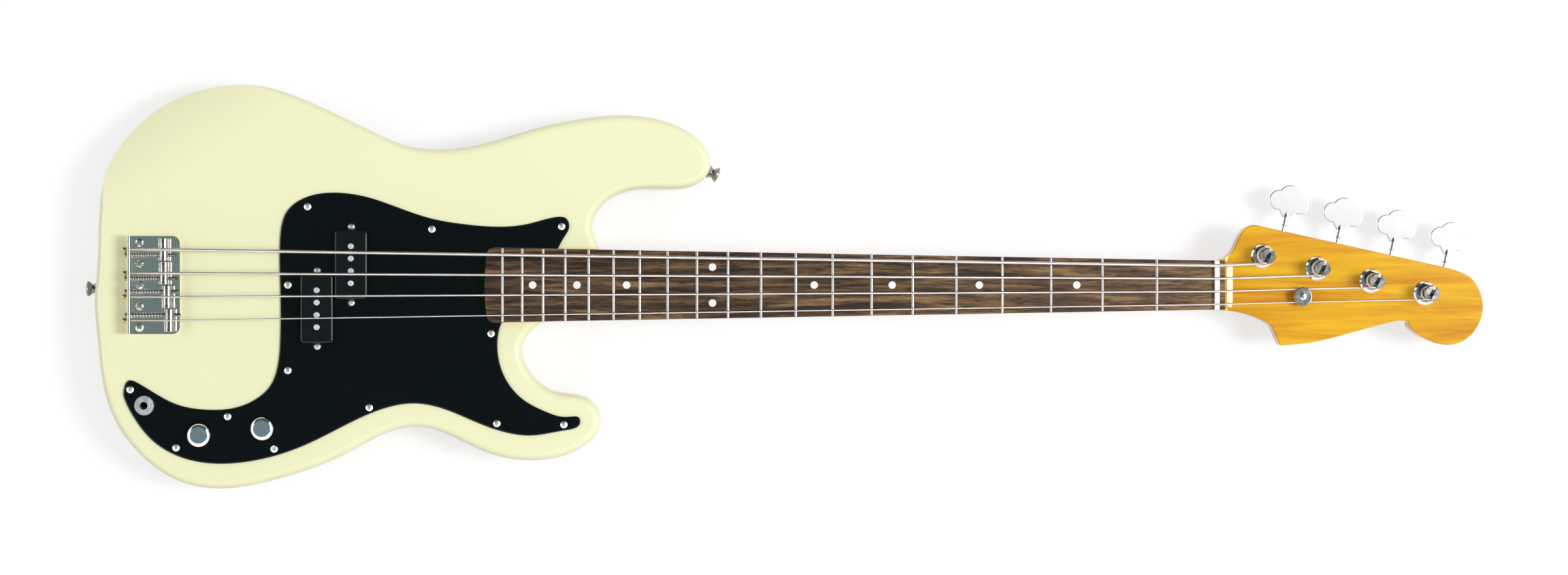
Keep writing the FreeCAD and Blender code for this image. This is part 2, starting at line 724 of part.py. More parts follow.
for seat, aim in ((TAIL_SEAT, TAIL_AIM), (HORN_SEAT, HORN_AIM)):
    reach = STRAP_SCREW_LENGTH - BUTTON_HEIGHT + 2
    strap_bore = Part.makeCylinder(STRAP_SCREW_RADIUS + SLOT_GAP, reach + 10)
    room.append(aimed(strap_bore, seat - aim * reach, aim))
    room.append(aimed(Part.makeCylinder(BUTTON_BASE + 1.5, 6), seat, aim))
body = body.cut(room)
save("body", [body])

# Neck plate, its cushion and the four screws that hold the neck
plate = rounded_slab(
    -PLATE_LENGTH / 2, PLATE_LENGTH / 2, -PLATE_WIDTH / 2, PLATE_WIDTH / 2, 0, PLATE_THICK, PLATE_CORNER
)
cushion = rounded_slab(
    -PLATE_LENGTH / 2, PLATE_LENGTH / 2, -PLATE_WIDTH / 2, PLATE_WIDTH / 2,
    PLATE_THICK, BODY_BACK, PLATE_CORNER,
)
neck_screw_length = POCKET_FLOOR + NECK_SCREW_REACH - NECK_SCREW_SUNK
neck_screw = sunk_screw(NECK_SCREW_HEAD, NECK_SCREW_RADIUS, neck_screw_length, 0)
neck_screws = []
for x, y in NECK_HOLES:
    hole = sink_hole(NECK_SCREW_HEAD, NECK_SCREW_RADIUS, SLOT_GAP, neck_screw_length + 1)
    hole = aimed(hole, V(x, y, NECK_SCREW_SUNK), V(0, 0, -1))
    plate = plate.cut(hole)
    cushion = cushion.cut(hole)
    neck_screws.append(aimed(neck_screw, V(x, y, NECK_SCREW_SUNK), V(0, 0, -1)))
save("neck_plate", [plate])
save("neck_plate_cushion", [cushion])
save("neck_screws", neck_screws)


# Neck: heel block, tapering shaft with a round back, and the headstock in one piece
def back_section(x, depth):
    w = half_width(x)
    top = line(V(x, w, BOARD_BOTTOM), V(x, -w, BOARD_BOTTOM))
    low = Part.Arc(V(x, -w, BOARD_BOTTOM), V(x, 0, BOARD_BOTTOM - depth), V(x, w, BOARD_BOTTOM)).toShape()
    return Part.Wire([top, low])


shaft_end = NUT_X + NAPE_END
shaft_start = HEEL_FRONT_X - 30
shaft = Part.makeLoft(
    [back_section(shaft_start, NECK_DEPTH_BODY), back_section(shaft_end, NECK_DEPTH_NUT)], True, True
)
shaft = shaft.cut(box(NUT_X, shaft_end + 5, -60, 60, HEAD_FACE - 3 * HEAD_EDGE, BOARD_BOTTOM + 5))
heel = heel_block(0, HEEL_FRONT_X + HEEL_CURVE, POCKET_FLOOR, BOARD_BOTTOM)
heel_nose = HEEL_FRONT_X + HEEL_CURVE
nose_cut = box(HEEL_FRONT_X, heel_nose + 5, -60, 60, POCKET_FLOOR - 5, POCKET_FLOOR + HEEL_CURVE)
nose_cut = nose_cut.cut(
    Part.makeCylinder(HEEL_CURVE, 140, V(HEEL_FRONT_X, -70, POCKET_FLOOR + HEEL_CURVE), V(0, 1, 0))
)
heel = heel.cut(nose_cut)

head_shift = V(NUT_X, 0, 0)
nut_half = NUT_WIDTH / 2
head_edges = [
    open_curve(((0, nut_half),) + HEAD_UPPER_FLARE, 4, TUNER_SLANT, HEAD_BACK),
    line(V(*HEAD_SHOULDER, HEAD_BACK), V(*HEAD_STRAIGHT_END, HEAD_BACK)),
    open_curve(HEAD_TIP_CURVE, TUNER_SLANT, 178, HEAD_BACK),
    open_curve(HEAD_LOWER_EDGE, 178, 185, HEAD_BACK),
    open_curve(HEAD_LOWER_FLARE + ((0, -nut_half),), 105, 176, HEAD_BACK),
    line(V(0, -nut_half, HEAD_BACK), V(0, nut_half, HEAD_BACK)),
]
head_face = Part.Face(Part.Wire(head_edges))
head = head_face.extrude(V(0, 0, HEAD_THICK))
head = head.makeFillet(HEAD_CORNER, upright_edges(head, (HEAD_LOW_CORNER,)))
head_rim = level_edges(head, HEAD_BACK) + level_edges(head, HEAD_FACE)
head = head.makeFillet(HEAD_EDGE, [e for e in head_rim if e.BoundBox.XMax > 1])
scoop_end = SCOOP_START + SCOOP_LENGTH
scoop_radius = (SCOOP_LENGTH ** 2 + HEAD_DROP ** 2) / (2 * HEAD_DROP)
near, bend, far = HEAD_UPPER_FLARE[:3]
scoop_side = bend[1] + (far[1] - bend[1]) * (scoop_end - bend[0]) / (far[0] - bend[0])
ledge = polygon((
    (0, -nut_half), (scoop_end, -nut_half - 1), (scoop_end, scoop_side - 2 * LEDGE_INSET),
    (bend[0], bend[1] - LEDGE_INSET), (near[0], near[1] - LEDGE_INSET), (0, nut_half),
), HEAD_FACE - 2 * HEAD_EDGE).extrude(V(0, 0, HEAD_DROP + 2 * HEAD_EDGE))
ledge = ledge.cut(Part.makeCylinder(
    scoop_radius, 200, V(scoop_end, -100, HEAD_FACE + scoop_radius - NAPE_LIFT), V(0, 1, 0)
))
ledge.translate(head_shift)
nape_run = NAPE_END - NAPE_START
nape_radius = (nape_run ** 2 + HEAD_THICK ** 2) / (2 * HEAD_THICK)
nape = box(NAPE_START - 1, NAPE_END - 0.5, -60, 60, HEAD_BACK - 1, HEAD_FACE + 5)
nape = nape.cut(Part.makeCylinder(
    nape_radius, 200, V(NAPE_END, -100, HEAD_BACK + nape_radius - NAPE_LIFT), V(0, 1, 0)
))
head = head.cut(nape)
head.translate(head_shift)
neck = heel.fuse(shaft).fuse(head).fuse(ledge).removeSplitter()

neck_room = []
for x, y in NECK_HOLES:
    neck_room.append(disc(NECK_SCREW_RADIUS + SLOT_GAP, NECK_SCREW_REACH + 2, x, y, POCKET_FLOOR - 1))
rod_end = NUT_X - ROD_STOP
neck_room.append(Part.makeCylinder(
    ROD_RADIUS + ROD_GAP, rod_end - HEEL_END_X, V(HEEL_END_X, 0, ROD_Z), V(1, 0, 0)
))
neck_room.append(Part.makeCylinder(
    ROD_NUT_RADIUS + ROD_GAP, ROD_NUT_LENGTH + 2, V(HEEL_END_X - 2, 0, ROD_Z), V(1, 0, 0)
))
neck_room.append(Part.makeCylinder(
    ROD_NUT_RADIUS + ROD_GAP, ROD_ANCHOR, V(rod_end - ROD_ANCHOR, 0, ROD_Z), V(1, 0, 0)
))
for i in range(4):
    neck_room.append(at_tuner(disc(FERRULE_BODY + TUNER_HOLE_GAP, HEAD_THICK + 40, 0, 0, -20), i))
    for u in TUNER_SCREW_U:
        for n in (-TUNER_SCREW_N, TUNER_SCREW_N):
            neck_room.append(at_tuner(disc(TUNER_SCREW_RADIUS + SLOT_GAP, TUNER_SCREW_LENGTH, u, n, -1), i))
neck_room.append(disc(TREE_SCREW_RADIUS + SLOT_GAP, 11, TREE_AT[0], TREE_AT[1], HEAD_FACE - 10))
neck_room.append(box(NUT_X, NUT_X + NUT_THICK, -40, 40, BOARD_BOTTOM - NUT_SINK, BOARD_BOTTOM + 5))
neck = neck.cut(neck_room)
save("neck", [neck])

# Truss rod with its anchor and the cross-slotted adjusting nut at the heel
rod_nut = Part.makeCylinder(ROD_NUT_RADIUS, ROD_NUT_LENGTH, V(HEEL_END_X, 0, ROD_Z), V(1, 0, 0))
rod_nut = rod_nut.cut(box(HEEL_END_X, HEEL_END_X + 2, -5, 5, ROD_Z - 0.6, ROD_Z + 0.6))
rod_nut = rod_nut.cut(box(HEEL_END_X, HEEL_END_X + 2, -0.6, 0.6, ROD_Z - 5, ROD_Z + 5))
rod_anchor = Part.makeCylinder(ROD_NUT_RADIUS, ROD_ANCHOR, V(rod_end - ROD_ANCHOR, 0, ROD_Z), V(1, 0, 0))
rod_start = HEEL_END_X + ROD_NUT_LENGTH
rod = Part.makeCylinder(ROD_RADIUS, rod_end - ROD_ANCHOR - rod_start, V(rod_start, 0, ROD_Z), V(1, 0, 0))
save("truss_rod", [rod, rod_nut, rod_anchor])

# Fretboard: tapered, arched across, slotted for the frets and bored for the dots
board_axis = V(BOARD_END_X - 50, 0, BOARD_TOP - BOARD_RADIUS)
arch = Part.makeCylinder(BOARD_RADIUS, BOARD_LENGTH + 100, board_axis, V(1, 0, 0))
corner_x = BOARD_END_X + BOARD_END_BULGE
corner_y = half_width(corner_x)
board_rim = [
    line(V(NUT_X, -nut_half, BOARD_BOTTOM), V(NUT_X, nut_half, BOARD_BOTTOM)),
    line(V(NUT_X, nut_half, BOARD_BOTTOM), V(corner_x, corner_y, BOARD_BOTTOM)),
    Part.Arc(
        V(corner_x, corner_y, BOARD_BOTTOM),
        V(BOARD_END_X, 0, BOARD_BOTTOM),
        V(corner_x, -corner_y, BOARD_BOTTOM),
    ).toShape(),
    line(V(corner_x, -corner_y, BOARD_BOTTOM), V(NUT_X, -nut_half, BOARD_BOTTOM)),
]
board = Part.Face(Part.Wire(board_rim)).extrude(V(0, 0, BOARD_THICK + 5))
board = board.makeFillet(
    BOARD_END_CORNER, upright_edges(board, ((corner_x, corner_y), (corner_x, -corner_y)))
)
board = board.common(arch)


def across(x, wide, low, high, y):
    """Bar across the arched board: a plan width and two radii, out to plus and minus y."""
    sweep = math.degrees(math.asin(y / BOARD_RADIUS))
    face = Part.Face(Part.makePolygon([
        V(x - wide / 2, 0, low), V(x + wide / 2, 0, low), V(x + wide / 2, 0, high),
        V(x - wide / 2, 0, high), V(x - wide / 2, 0, low),
    ]))
    centre = V(x, 0, BOARD_TOP - BOARD_RADIUS)
    face.rotate(centre, V(1, 0, 0), -sweep)
    return face.revolve(centre, V(1, 0, 0), 2 * sweep)


def fret(x, y):
    """One fret wire: a rounded crown and a tang, bent to the arch of the board."""
    sweep = math.degrees(math.asin(y / BOARD_RADIUS))
    base = BOARD_TOP + DOT_GAP
    foot = BOARD_TOP - FRET_TANG_DEPTH
    rim = [
        Part.Arc(
            V(x - FRET_WIDTH / 2, 0, base), V(x, 0, BOARD_TOP + FRET_HEIGHT), V(x + FRET_WIDTH / 2, 0, base)
        ).toShape(),
        line(V(x + FRET_WIDTH / 2, 0, base), V(x + FRET_TANG / 2, 0, base)),
        line(V(x + FRET_TANG / 2, 0, base), V(x + FRET_TANG / 2, 0, foot)),
        line(V(x + FRET_TANG / 2, 0, foot), V(x - FRET_TANG / 2, 0, foot)),
        line(V(x - FRET_TANG / 2, 0, foot), V(x - FRET_TANG / 2, 0, base)),
        line(V(x - FRET_TANG / 2, 0, base), V(x - FRET_WIDTH / 2, 0, base)),
    ]
    face = Part.Face(Part.Wire(rim))
    centre = V(x, 0, BOARD_TOP - BOARD_RADIUS)
    face.rotate(centre, V(1, 0, 0), -sweep)
    return face.revolve(centre, V(1, 0, 0), 2 * sweep)


frets = []
board_room = []
for number in range(1, FRET_COUNT + 1):
    x = fret_x(number)
    frets.append(fret(x, half_width(x) - 0.4))
    slot_floor = BOARD_TOP - FRET_TANG_DEPTH - SLOT_GAP
    board_room.append(across(x, FRET_TANG + 2 * SLOT_GAP, slot_floor, BOARD_TOP + 2, half_width(x) + 2))
dot_places = []
for number in DOT_FRETS + (DOUBLE_DOT_FRET,):
    x = (fret_x(number) + fret_x(number - 1)) / 2
    for y in ((-DOUBLE_DOT_Y, DOUBLE_DOT_Y) if number == DOUBLE_DOT_FRET else (0,)):
        dot_places.append((x, y))
dots = []
for x, y in dot_places:
    low = BOARD_TOP - board_drop(y) - DOT_DEPTH
    board_room.append(disc(DOT_RADIUS + DOT_GAP, 8, x, y, low))
    dots.append(disc(DOT_RADIUS, 8, x, y, low).common(arch))
for number in DOT_FRETS + (DOUBLE_DOT_FRET,):
    middle = (fret_x(number) + fret_x(number - 1)) / 2
    for shift in ((-4, 4) if number == DOUBLE_DOT_FRET else (0,)):
        x = middle + shift
        inner = V(x, half_width(x) - SIDE_DOT_DEPTH, BOARD_BOTTOM + SIDE_DOT_DOWN)
        board_room.append(Part.makeCylinder(SIDE_DOT_RADIUS + DOT_GAP, 6, inner, V(0, 1, 0)))
        flush = Part.makeCylinder(SIDE_DOT_RADIUS, 6, inner, V(0, 1, 0))
        dots.append(flush.common(neck_plan(BOARD_END_X, NUT_X, 0, BOARD_BOTTOM, BOARD_TOP)))
board = board.cut(board_room)
save("fretboard", [board])
save("frets", frets)
save("position_dots", dots)

# Nut: slotted bar at the end of the fretboard
nut_top = max(NUT_STRING_Z) + max(STRING_DIAMETER) / 2 + NUT_ABOVE_STRING
nut = box(NUT_X, NUT_X + NUT_THICK, -nut_half, nut_half, BOARD_BOTTOM - NUT_SINK, nut_top + 4)
nut_crown_z = nut_top - BOARD_RADIUS
nut = nut.common(Part.makeCylinder(BOARD_RADIUS, 40, V(NUT_X - 20, 0, nut_crown_z), V(1, 0, 0)))

# Strings: ball behind the bridge wall, over the saddle and the nut, then wound on the post
WINDING_Z = HEAD_FACE + WINDING_START


def seat_around(before, corner, after, bend, radius):
    """Short stretch of a string path about a corner, used to cut its seat."""
    a = corner + (before - corner).normalize() * 9
    b = corner + (after - corner).normalize() * 9
    return tube(bent_path([a, corner, b], [bend]), a, (corner - a).normalize(), radius)


saddle_seats = []
tails = []
post_slots = []
for i in range(4):
    radius = STRING_DIAMETER[i] / 2
    wall_z = BRIDGE_TOP + WALL_STRING_RISE
    ball_face = V(BRIDGE_REAR_X - SLOT_GAP, SADDLE_Y[i], wall_z)
    saddle = V(SADDLE_X[i], SADDLE_Y[i], SADDLE_STRING_Z[i] + radius)
    nut_point = V(NUT_X + NUT_THICK / 2, NUT_Y[i], NUT_STRING_Z[i] + radius)
    wall_exit = V(WALL_X + 1.5, SADDLE_Y[i], wall_z)
    points = [ball_face, wall_exit, saddle, nut_point]
    bends = [6.0, BARREL_RADIUS + 4.0]
    post = POSTS[i]
    winding = POST_WAIST + WINDING_SEAT + radius
    low = WINDING_Z + radius
    if i >= 2:
        share = TREE_FROM_NUT / (post.x - NUT_X)
        tree_y = NUT_Y[i] + (post.y - winding - NUT_Y[i]) * share
        tree_edge = TREE_AT[0] - TREE_PRESS
        points.append(V(tree_edge, tree_y, HEAD_FACE + TREE_RISE - radius - 2 * STRING_SEAT_GAP))
        bends.append(8.0)
    bends.append(30.0 if i >= 2 else 8.0)
    last = points[-1]
    away = V(post.x - last.x, post.y - last.y, 0)
    turn = math.atan2(away.y, away.x) - math.asin(winding / away.Length)
    flat = V(math.cos(turn), math.sin(turn), 0)
    right = V(flat.y, -flat.x, 0)
    touch = V(post.x, post.y, low) + right * winding
    points.append(touch)
    edges = bent_path(points, bends)
    arrive = (touch - last).normalize()
    pitch = 2 * radius + WINDING_GAP
    coil_points, coil_tangents = coil(
        V(post.x, post.y, low), right, flat, V(0, 0, 1), winding, pitch, WINDING_TURNS
    )
    coil_tangents[0] = arrive
    edges += coil_edges(coil_points, coil_tangents)
    end = coil_points[-1]
    out = (end - V(post.x, post.y, end.z)).normalize()
    side = V(-out.y, out.x, 0)
    slot_out = out * math.cos(math.radians(62)) + side * math.sin(math.radians(62))
    inner = V(post.x, post.y, end.z) + slot_out * 2.4
    tail_edges = biarc(end, coil_tangents[-1], inner, slot_out * -1)
    tail_edges.append(line(inner, V(post.x, post.y, end.z)))
    edges += tail_edges
    string = tube(edges, points[0], V(1, 0, 0), radius)
    gap = least_gap(edges[-(len(coil_points) * 2 + 1):], radius, math.pi * winding)
    print("string", STRING_NAMES[i], "least gap to itself", round(gap, 3))
    ball = Part.makeCylinder(BALL_RADIUS, BALL_LENGTH, ball_face - V(BALL_LENGTH, 0, 0), V(1, 0, 0))
    ball = ball.makeFillet(0.6, ball.Edges)
    save("string_" + STRING_NAMES[i], [string, ball])
    tail_start = Part.Circle(end, coil_tangents[-1], radius + 0.12).toShape()
    tail_path = Part.Wire(Part.__sortEdges__(tail_edges))
    tails.append(tail_path.makePipeShell([Part.Wire([tail_start])], True, False))
    post_slots.append((math.degrees(math.atan2(slot_out.y, slot_out.x)), end.z - radius))
    groove = seat_around(points[2], points[3], points[4], bends[2], radius + STRING_SEAT_GAP)
    slit = radius + 2 * STRING_SEAT_GAP
    open_top = box(
        NUT_X - 1, NUT_X + NUT_THICK + 1, NUT_Y[i] - slit, NUT_Y[i] + slit, nut_point.z, nut_point.z + 9
    )
    nut = nut.cut(open_top).cut(groove)
    saddle_seats.append(seat_around(points[1], points[2], points[3], bends[1], radius + STRING_SEAT_GAP))
save("nut", [nut])

# Bridge: bent plate, five screws, four barrels on height screws, long screws with springs
bridge = box(
    BRIDGE_REAR_X, BRIDGE_REAR_X + BRIDGE_LENGTH, -BRIDGE_WIDTH / 2, BRIDGE_WIDTH / 2, BODY_TOP, BRIDGE_TOP
)
front_corners = (
    (BRIDGE_REAR_X + BRIDGE_LENGTH, BRIDGE_WIDTH / 2), (BRIDGE_REAR_X + BRIDGE_LENGTH, -BRIDGE_WIDTH / 2)
)
bridge = bridge.makeFillet(BRIDGE_CORNER, upright_edges(bridge, front_corners))
wall = box(
    BRIDGE_REAR_X, WALL_X, -BRIDGE_WIDTH / 2, BRIDGE_WIDTH / 2, BODY_TOP, BODY_TOP + BRIDGE_WALL_HEIGHT
)
bridge = bridge.fuse(wall).removeSplitter()
wall_rim = level_edges(bridge, BODY_TOP + BRIDGE_WALL_HEIGHT)
outer_bend = [e for e in wall_rim if e.BoundBox.XMax - e.BoundBox.XMin < 0.01]
bridge = bridge.makeFillet(0.6, outer_bend)
bridge_room = []
bridge_screws = []
bridge_screw_reach = BRIDGE_SCREW_LENGTH + BRIDGE_THICK - 1
bridge_screw = pan_screw(BRIDGE_SCREW_HEAD, BRIDGE_SCREW_RADIUS, bridge_screw_reach, 2.0)
for k in range(-2, 3):
    y = k * BRIDGE_SCREW_PITCH
    bridge_room.append(disc(BRIDGE_SCREW_RADIUS + 0.1, 10, bridge_screw_x, y, BODY_TOP - 3))
    bridge_screws.append(moved(bridge_screw, bridge_screw_x, y, BRIDGE_TOP))
for i in range(4):
    string_hole = V(BRIDGE_REAR_X - 3, SADDLE_Y[i], BRIDGE_TOP + WALL_STRING_RISE)
    bridge_room.append(Part.makeCylinder(STRING_DIAMETER[i] / 2 + 0.2, 10, string_hole, V(1, 0, 0)))
    bridge_room.append(Part.makeCylinder(
        INTONATION_RADIUS + THREAD_GAP, 10, V(BRIDGE_REAR_X - 3, INTONATION_Y[i], BARREL_Z[i]), V(1, 0, 0)
    ))
bridge = bridge.cut(bridge_room)
save("bridge_plate", [bridge])
save("bridge_screws", bridge_screws)

springs = []
for i in range(4):
    name = STRING_NAMES[i]
    centre = V(SADDLE_X[i], SADDLE_Y[i], BARREL_Z[i])
    barrel_end = centre - V(0, BARREL_LENGTH / 2, 0)
    barrel = Part.makeCylinder(BARREL_RADIUS, BARREL_LENGTH, barrel_end, V(0, 1, 0))
    barrel = barrel.makeFillet(0.4, [e for e in barrel.Edges if e.Closed])
    barrel = barrel.cut(saddle_seats[i])
    barrel = barrel.cut(Part.makeCylinder(
        INTONATION_RADIUS + THREAD_GAP, 30, V(SADDLE_X[i] - 15, INTONATION_Y[i], BARREL_Z[i]), V(1, 0, 0)
    ))
    screws = []
    for out in (-HEIGHT_SCREW_OUT, HEIGHT_SCREW_OUT):
        foot = BRIDGE_TOP + HEIGHT_SCREW_GAP
        top = BARREL_Z[i] + BARREL_RADIUS - 0.4
        y = SADDLE_Y[i] + out
        barrel = barrel.cut(disc(HEIGHT_SCREW_RADIUS + SLOT_GAP, 30, SADDLE_X[i], y, BARREL_Z[i] - 15))
        grub = disc(HEIGHT_SCREW_RADIUS, top - foot, SADDLE_X[i], y, foot)
        socket = Part.Face(Part.makePolygon(
            [V(SADDLE_X[i], y, top - 1.2) + heading_vector(60 * k) * 0.75 for k in range(7)]
        )).extrude(V(0, 0, 3))
        screws.append(grub.cut(socket))
    save("saddle_" + name, [barrel] + screws)
    rear = BRIDGE_REAR_X - SLOT_GAP
    past = SADDLE_X[i] + INTONATION_PAST
    axis_start = V(rear, INTONATION_Y[i], BARREL_Z[i])
    long_screw = Part.makeCylinder(INTONATION_RADIUS, past - rear, axis_start, V(1, 0, 0))
    head = Part.makeCylinder(INTONATION_HEAD, INTONATION_HEAD_LENGTH, axis_start, V(-1, 0, 0))
    head = head.makeFillet(0.5, [e for e in head.Edges if e.Closed and e.BoundBox.XMax < rear - 1])
    long_screw = long_screw.fuse(head).removeSplitter()
    recess = aimed(cross_recess(1.6, 1.2, 0), axis_start - V(INTONATION_HEAD_LENGTH, 0, 0), V(-1, 0, 0))
    save("intonation_screw_" + name, [long_screw.cut(recess)])
    spring_start = WALL_X + SPRING_WIRE + SPRING_END_GAP
    spring_end = SADDLE_X[i] - BARREL_RADIUS - SPRING_WIRE - SPRING_END_GAP
    spring_pitch = (spring_end - spring_start) / SPRING_TURNS
    points, tangents = coil(
        V(spring_start, INTONATION_Y[i], BARREL_Z[i]), V(0, 1, 0), V(0, 0, 1), V(1, 0, 0),
        SPRING_COIL, spring_pitch, SPRING_TURNS,
    )
    edges = coil_edges(points, tangents)
    springs.append(tube(edges, points[0], tangents[0], SPRING_WIRE))
    gap = least_gap(edges, SPRING_WIRE, math.pi * SPRING_COIL)
    print("spring", name, "least gap to itself", round(gap, 3))
save("intonation_springs", springs)


# Pickups: hollow covers with ears, coil block and pole magnets inside
def pole_places(x, y):
    places = []
    for pair in (-POLE_STRING_PITCH / 2, POLE_STRING_PITCH / 2):
        for side in (-POLE_PAIR / 2, POLE_PAIR / 2):
            places.append((x, y + pair + side))
    return places


pickup_screws = []
foams = []
for name, (x, y) in (("bass", BASS_PICKUP), ("treble", TREBLE_PICKUP)):
    wide = COVER_WIDTH / 2
    long = COVER_LENGTH / 2
    cover = rounded_slab(x - wide, x + wide, y - long, y + long, COVER_BOTTOM, COVER_TOP, COVER_CORNER)
    cover = cover.makeFillet(COVER_EDGE, level_edges(cover, COVER_TOP))
    ears = slot((x, y - EAR_OUT), (x, y + EAR_OUT), 2 * EAR_RADIUS, EAR_TOP - EAR_THICK, EAR_TOP)
    cover = cover.fuse(ears).removeSplitter()
    inside = rounded_slab(
        x - wide + COVER_WALL, x + wide - COVER_WALL, y - long + COVER_WALL, y + long - COVER_WALL,
        COVER_BOTTOM - 1, COVER_TOP - COVER_WALL, COVER_CORNER - COVER_WALL,
    )
    poles = pole_places(x, y)
    cover_room = [inside]
    for px, py in poles:
        cover_room.append(disc(POLE_RADIUS + 0.05, 10, px, py, COVER_TOP - 5))
    for out in (-EAR_OUT, EAR_OUT):
        cover_room.append(disc(PICKUP_SCREW_RADIUS + 0.1, 10, x, y + out, EAR_TOP - 5))
    cover = cover.cut(cover_room)
    save("pickup_cover_" + name, [cover])
    thin = COVER_WALL + BOBBIN_GAP
    core = rounded_slab(
        x - wide + thin, x + wide - thin, y - long + thin, y + long - thin,
        COVER_BOTTOM, COVER_TOP - COVER_WALL - 0.05, COVER_CORNER - COVER_WALL - 0.2,
    )
    magnets = []
    for px, py in poles:
        core = core.cut(disc(POLE_RADIUS + 0.02, 40, px, py, COVER_BOTTOM - 1))
        magnet = disc(POLE_RADIUS, COVER_TOP + POLE_RISE - COVER_BOTTOM, px, py, COVER_BOTTOM)
        magnets.append(magnet.makeFillet(0.4, level_edges(magnet, COVER_TOP + POLE_RISE)))
    save("pickup_core_" + name, [core] + magnets)
    screw_length = EAR_TOP - PICKUP_FLOOR + 7
    for out in (-EAR_OUT, EAR_OUT):
        pickup_screws.append(moved(
            pan_screw(PICKUP_SCREW_HEAD, PICKUP_SCREW_RADIUS, screw_length, 1.7), x, y + out, EAR_TOP
        ))
    foams.append(rounded_slab(
        x - wide + 4, x + wide - 4, y - long + 4, y + long - 4, PICKUP_FLOOR, COVER_BOTTOM, 2
    ))
save("pickup_screws", pickup_screws)
save("pickup_foam", foams)

# Pickguard: bevelled sheet with openings for the neck, pickups, controls and screws
guard = closed_curve(GUARD_OUTLINE, BODY_TOP).extrude(V(0, 0, GUARD_THICK))
guard = guard.makeChamfer(GUARD_BEVEL, level_edges(guard, GUARD_TOP))
guard_room = [heel_block(GUARD_NECK_GAP, NUT_X, BODY_TOP - 1, GUARD_TOP + 1)]
for x, y in GUARD_SCREWS:
    hole = sink_hole(GUARD_SCREW_HEAD, GUARD_SCREW_RADIUS, SLOT_GAP, 6)
    guard_room.append(moved(hole, x, y, GUARD_TOP))
for x, y in PICKUPS:
    wide = COVER_WIDTH / 2 + PICKUP_CUT_GAP
    long = COVER_LENGTH / 2 + PICKUP_CUT_GAP
    guard_room.append(rounded_slab(
        x - wide, x + wide, y - long, y + long, BODY_TOP - 1, GUARD_TOP + 1, COVER_CORNER + PICKUP_CUT_GAP
    ))
    guard_room.append(slot(
        (x, y - EAR_OUT), (x, y + EAR_OUT), 2 * (EAR_RADIUS + PICKUP_CUT_GAP), BODY_TOP - 1, GUARD_TOP + 1
    ))
for x, y in (VOLUME_AT, TONE_AT):
    guard_room.append(disc(POT_BUSH_RADIUS + POT_HOLE_GAP, 6, x, y, BODY_TOP - 1))
guard_room.append(disc(JACK_BUSH_RADIUS + POT_HOLE_GAP, 6, JACK_AT[0], JACK_AT[1], BODY_TOP - 1))
guard = guard.cut(guard_room)
save("pickguard", [guard])
guard_screw = sunk_screw(GUARD_SCREW_HEAD, GUARD_SCREW_RADIUS, GUARD_SCREW_LENGTH, 0.7)
save("pickguard_screws", [moved(guard_screw, x, y, GUARD_TOP) for x, y in GUARD_SCREWS])

# Controls: two potentiometers with knobs, a capacitor and the output jack under the pickguard
pots = []
nuts = []
nut_ring = Part.Face(Part.makePolygon(
    [heading_vector(60 * k) * NUT_ACROSS_CORNERS for k in range(7)]
)).extrude(V(0, 0, PANEL_NUT_THICK))
nut_ring = nut_ring.cut(disc(POT_BUSH_RADIUS + SLOT_GAP, 10, 0, 0, -1))
washer = disc(WASHER_RADIUS, WASHER_THICK, 0, 0, 0).cut(disc(POT_BUSH_RADIUS + SLOT_GAP, 4, 0, 0, -1))
shaft_hole = POT_SHAFT_RADIUS + POT_SHAFT_GAP
shaft_foot = BODY_TOP - POT_HEIGHT + 1.5
for name, (x, y) in (("volume", VOLUME_AT), ("tone", TONE_AT)):
    pot = disc(POT_RADIUS, POT_HEIGHT, x, y, BODY_TOP - POT_HEIGHT)
    pot = pot.makeFillet(1.2, level_edges(pot, BODY_TOP - POT_HEIGHT))
    pot = pot.fuse([
        disc(POT_BUSH_RADIUS, GUARD_THICK + POT_BUSH_RISE, x, y, BODY_TOP),
        box(x - POT_LUG, x + POT_LUG, y + POT_RADIUS - 3, y + POT_RADIUS + 1.6, BODY_TOP - 1.6, BODY_TOP),
    ]).removeSplitter()
    pot = pot.cut(disc(shaft_hole, 60, x, y, shaft_foot))
    pots.append(pot)
    nuts.append(moved(washer, x, y, GUARD_TOP))
    nuts.append(moved(nut_ring, x, y, GUARD_TOP + WASHER_THICK))
    shaft_top = GUARD_TOP + POT_SHAFT_RISE - KNOB_TOP
    stem = disc(POT_SHAFT_RADIUS, shaft_top - shaft_foot - 0.1, x, y, shaft_foot + 0.1)
    save(name + "_shaft", [stem])
    knob_foot = GUARD_TOP + KNOB_LIFT
    knob = disc(KNOB_RADIUS, KNOB_HEIGHT, x, y, knob_foot)
    knob = knob.makeFillet(KNOB_ROUND, level_edges(knob, knob_foot + KNOB_HEIGHT))
    hub_low = GUARD_TOP + POT_BUSH_RISE + 1
    hollow = disc(KNOB_RADIUS - KNOB_WALL, hub_low - knob_foot + 1, x, y, knob_foot - 1)
    bore = disc(POT_SHAFT_RADIUS + 0.02, shaft_top - hub_low + 1.05, x, y, hub_low - 1)
    screw_z = (hub_low + shaft_top) / 2
    set_start = V(x, y - POT_SHAFT_RADIUS - 0.1, screw_z)
    set_hole = Part.makeCylinder(SET_SCREW_RADIUS + SLOT_GAP, KNOB_RADIUS, set_start, V(0, -1, 0))
    knob = knob.cut([hollow, bore, set_hole])
    set_length = KNOB_RADIUS - POT_SHAFT_RADIUS - 0.8
    set_screw = Part.makeCylinder(SET_SCREW_RADIUS, set_length, set_start, V(0, -1, 0))
    slit = box(x - 2, x + 2, y - KNOB_RADIUS - 1, y - KNOB_RADIUS + 1.6, screw_z - 0.25, screw_z + 0.25)
    save(name + "_knob", [knob, set_screw.cut(slit)])
jx, jy = JACK_AT
nuts.append(moved(washer, jx, jy, GUARD_TOP))
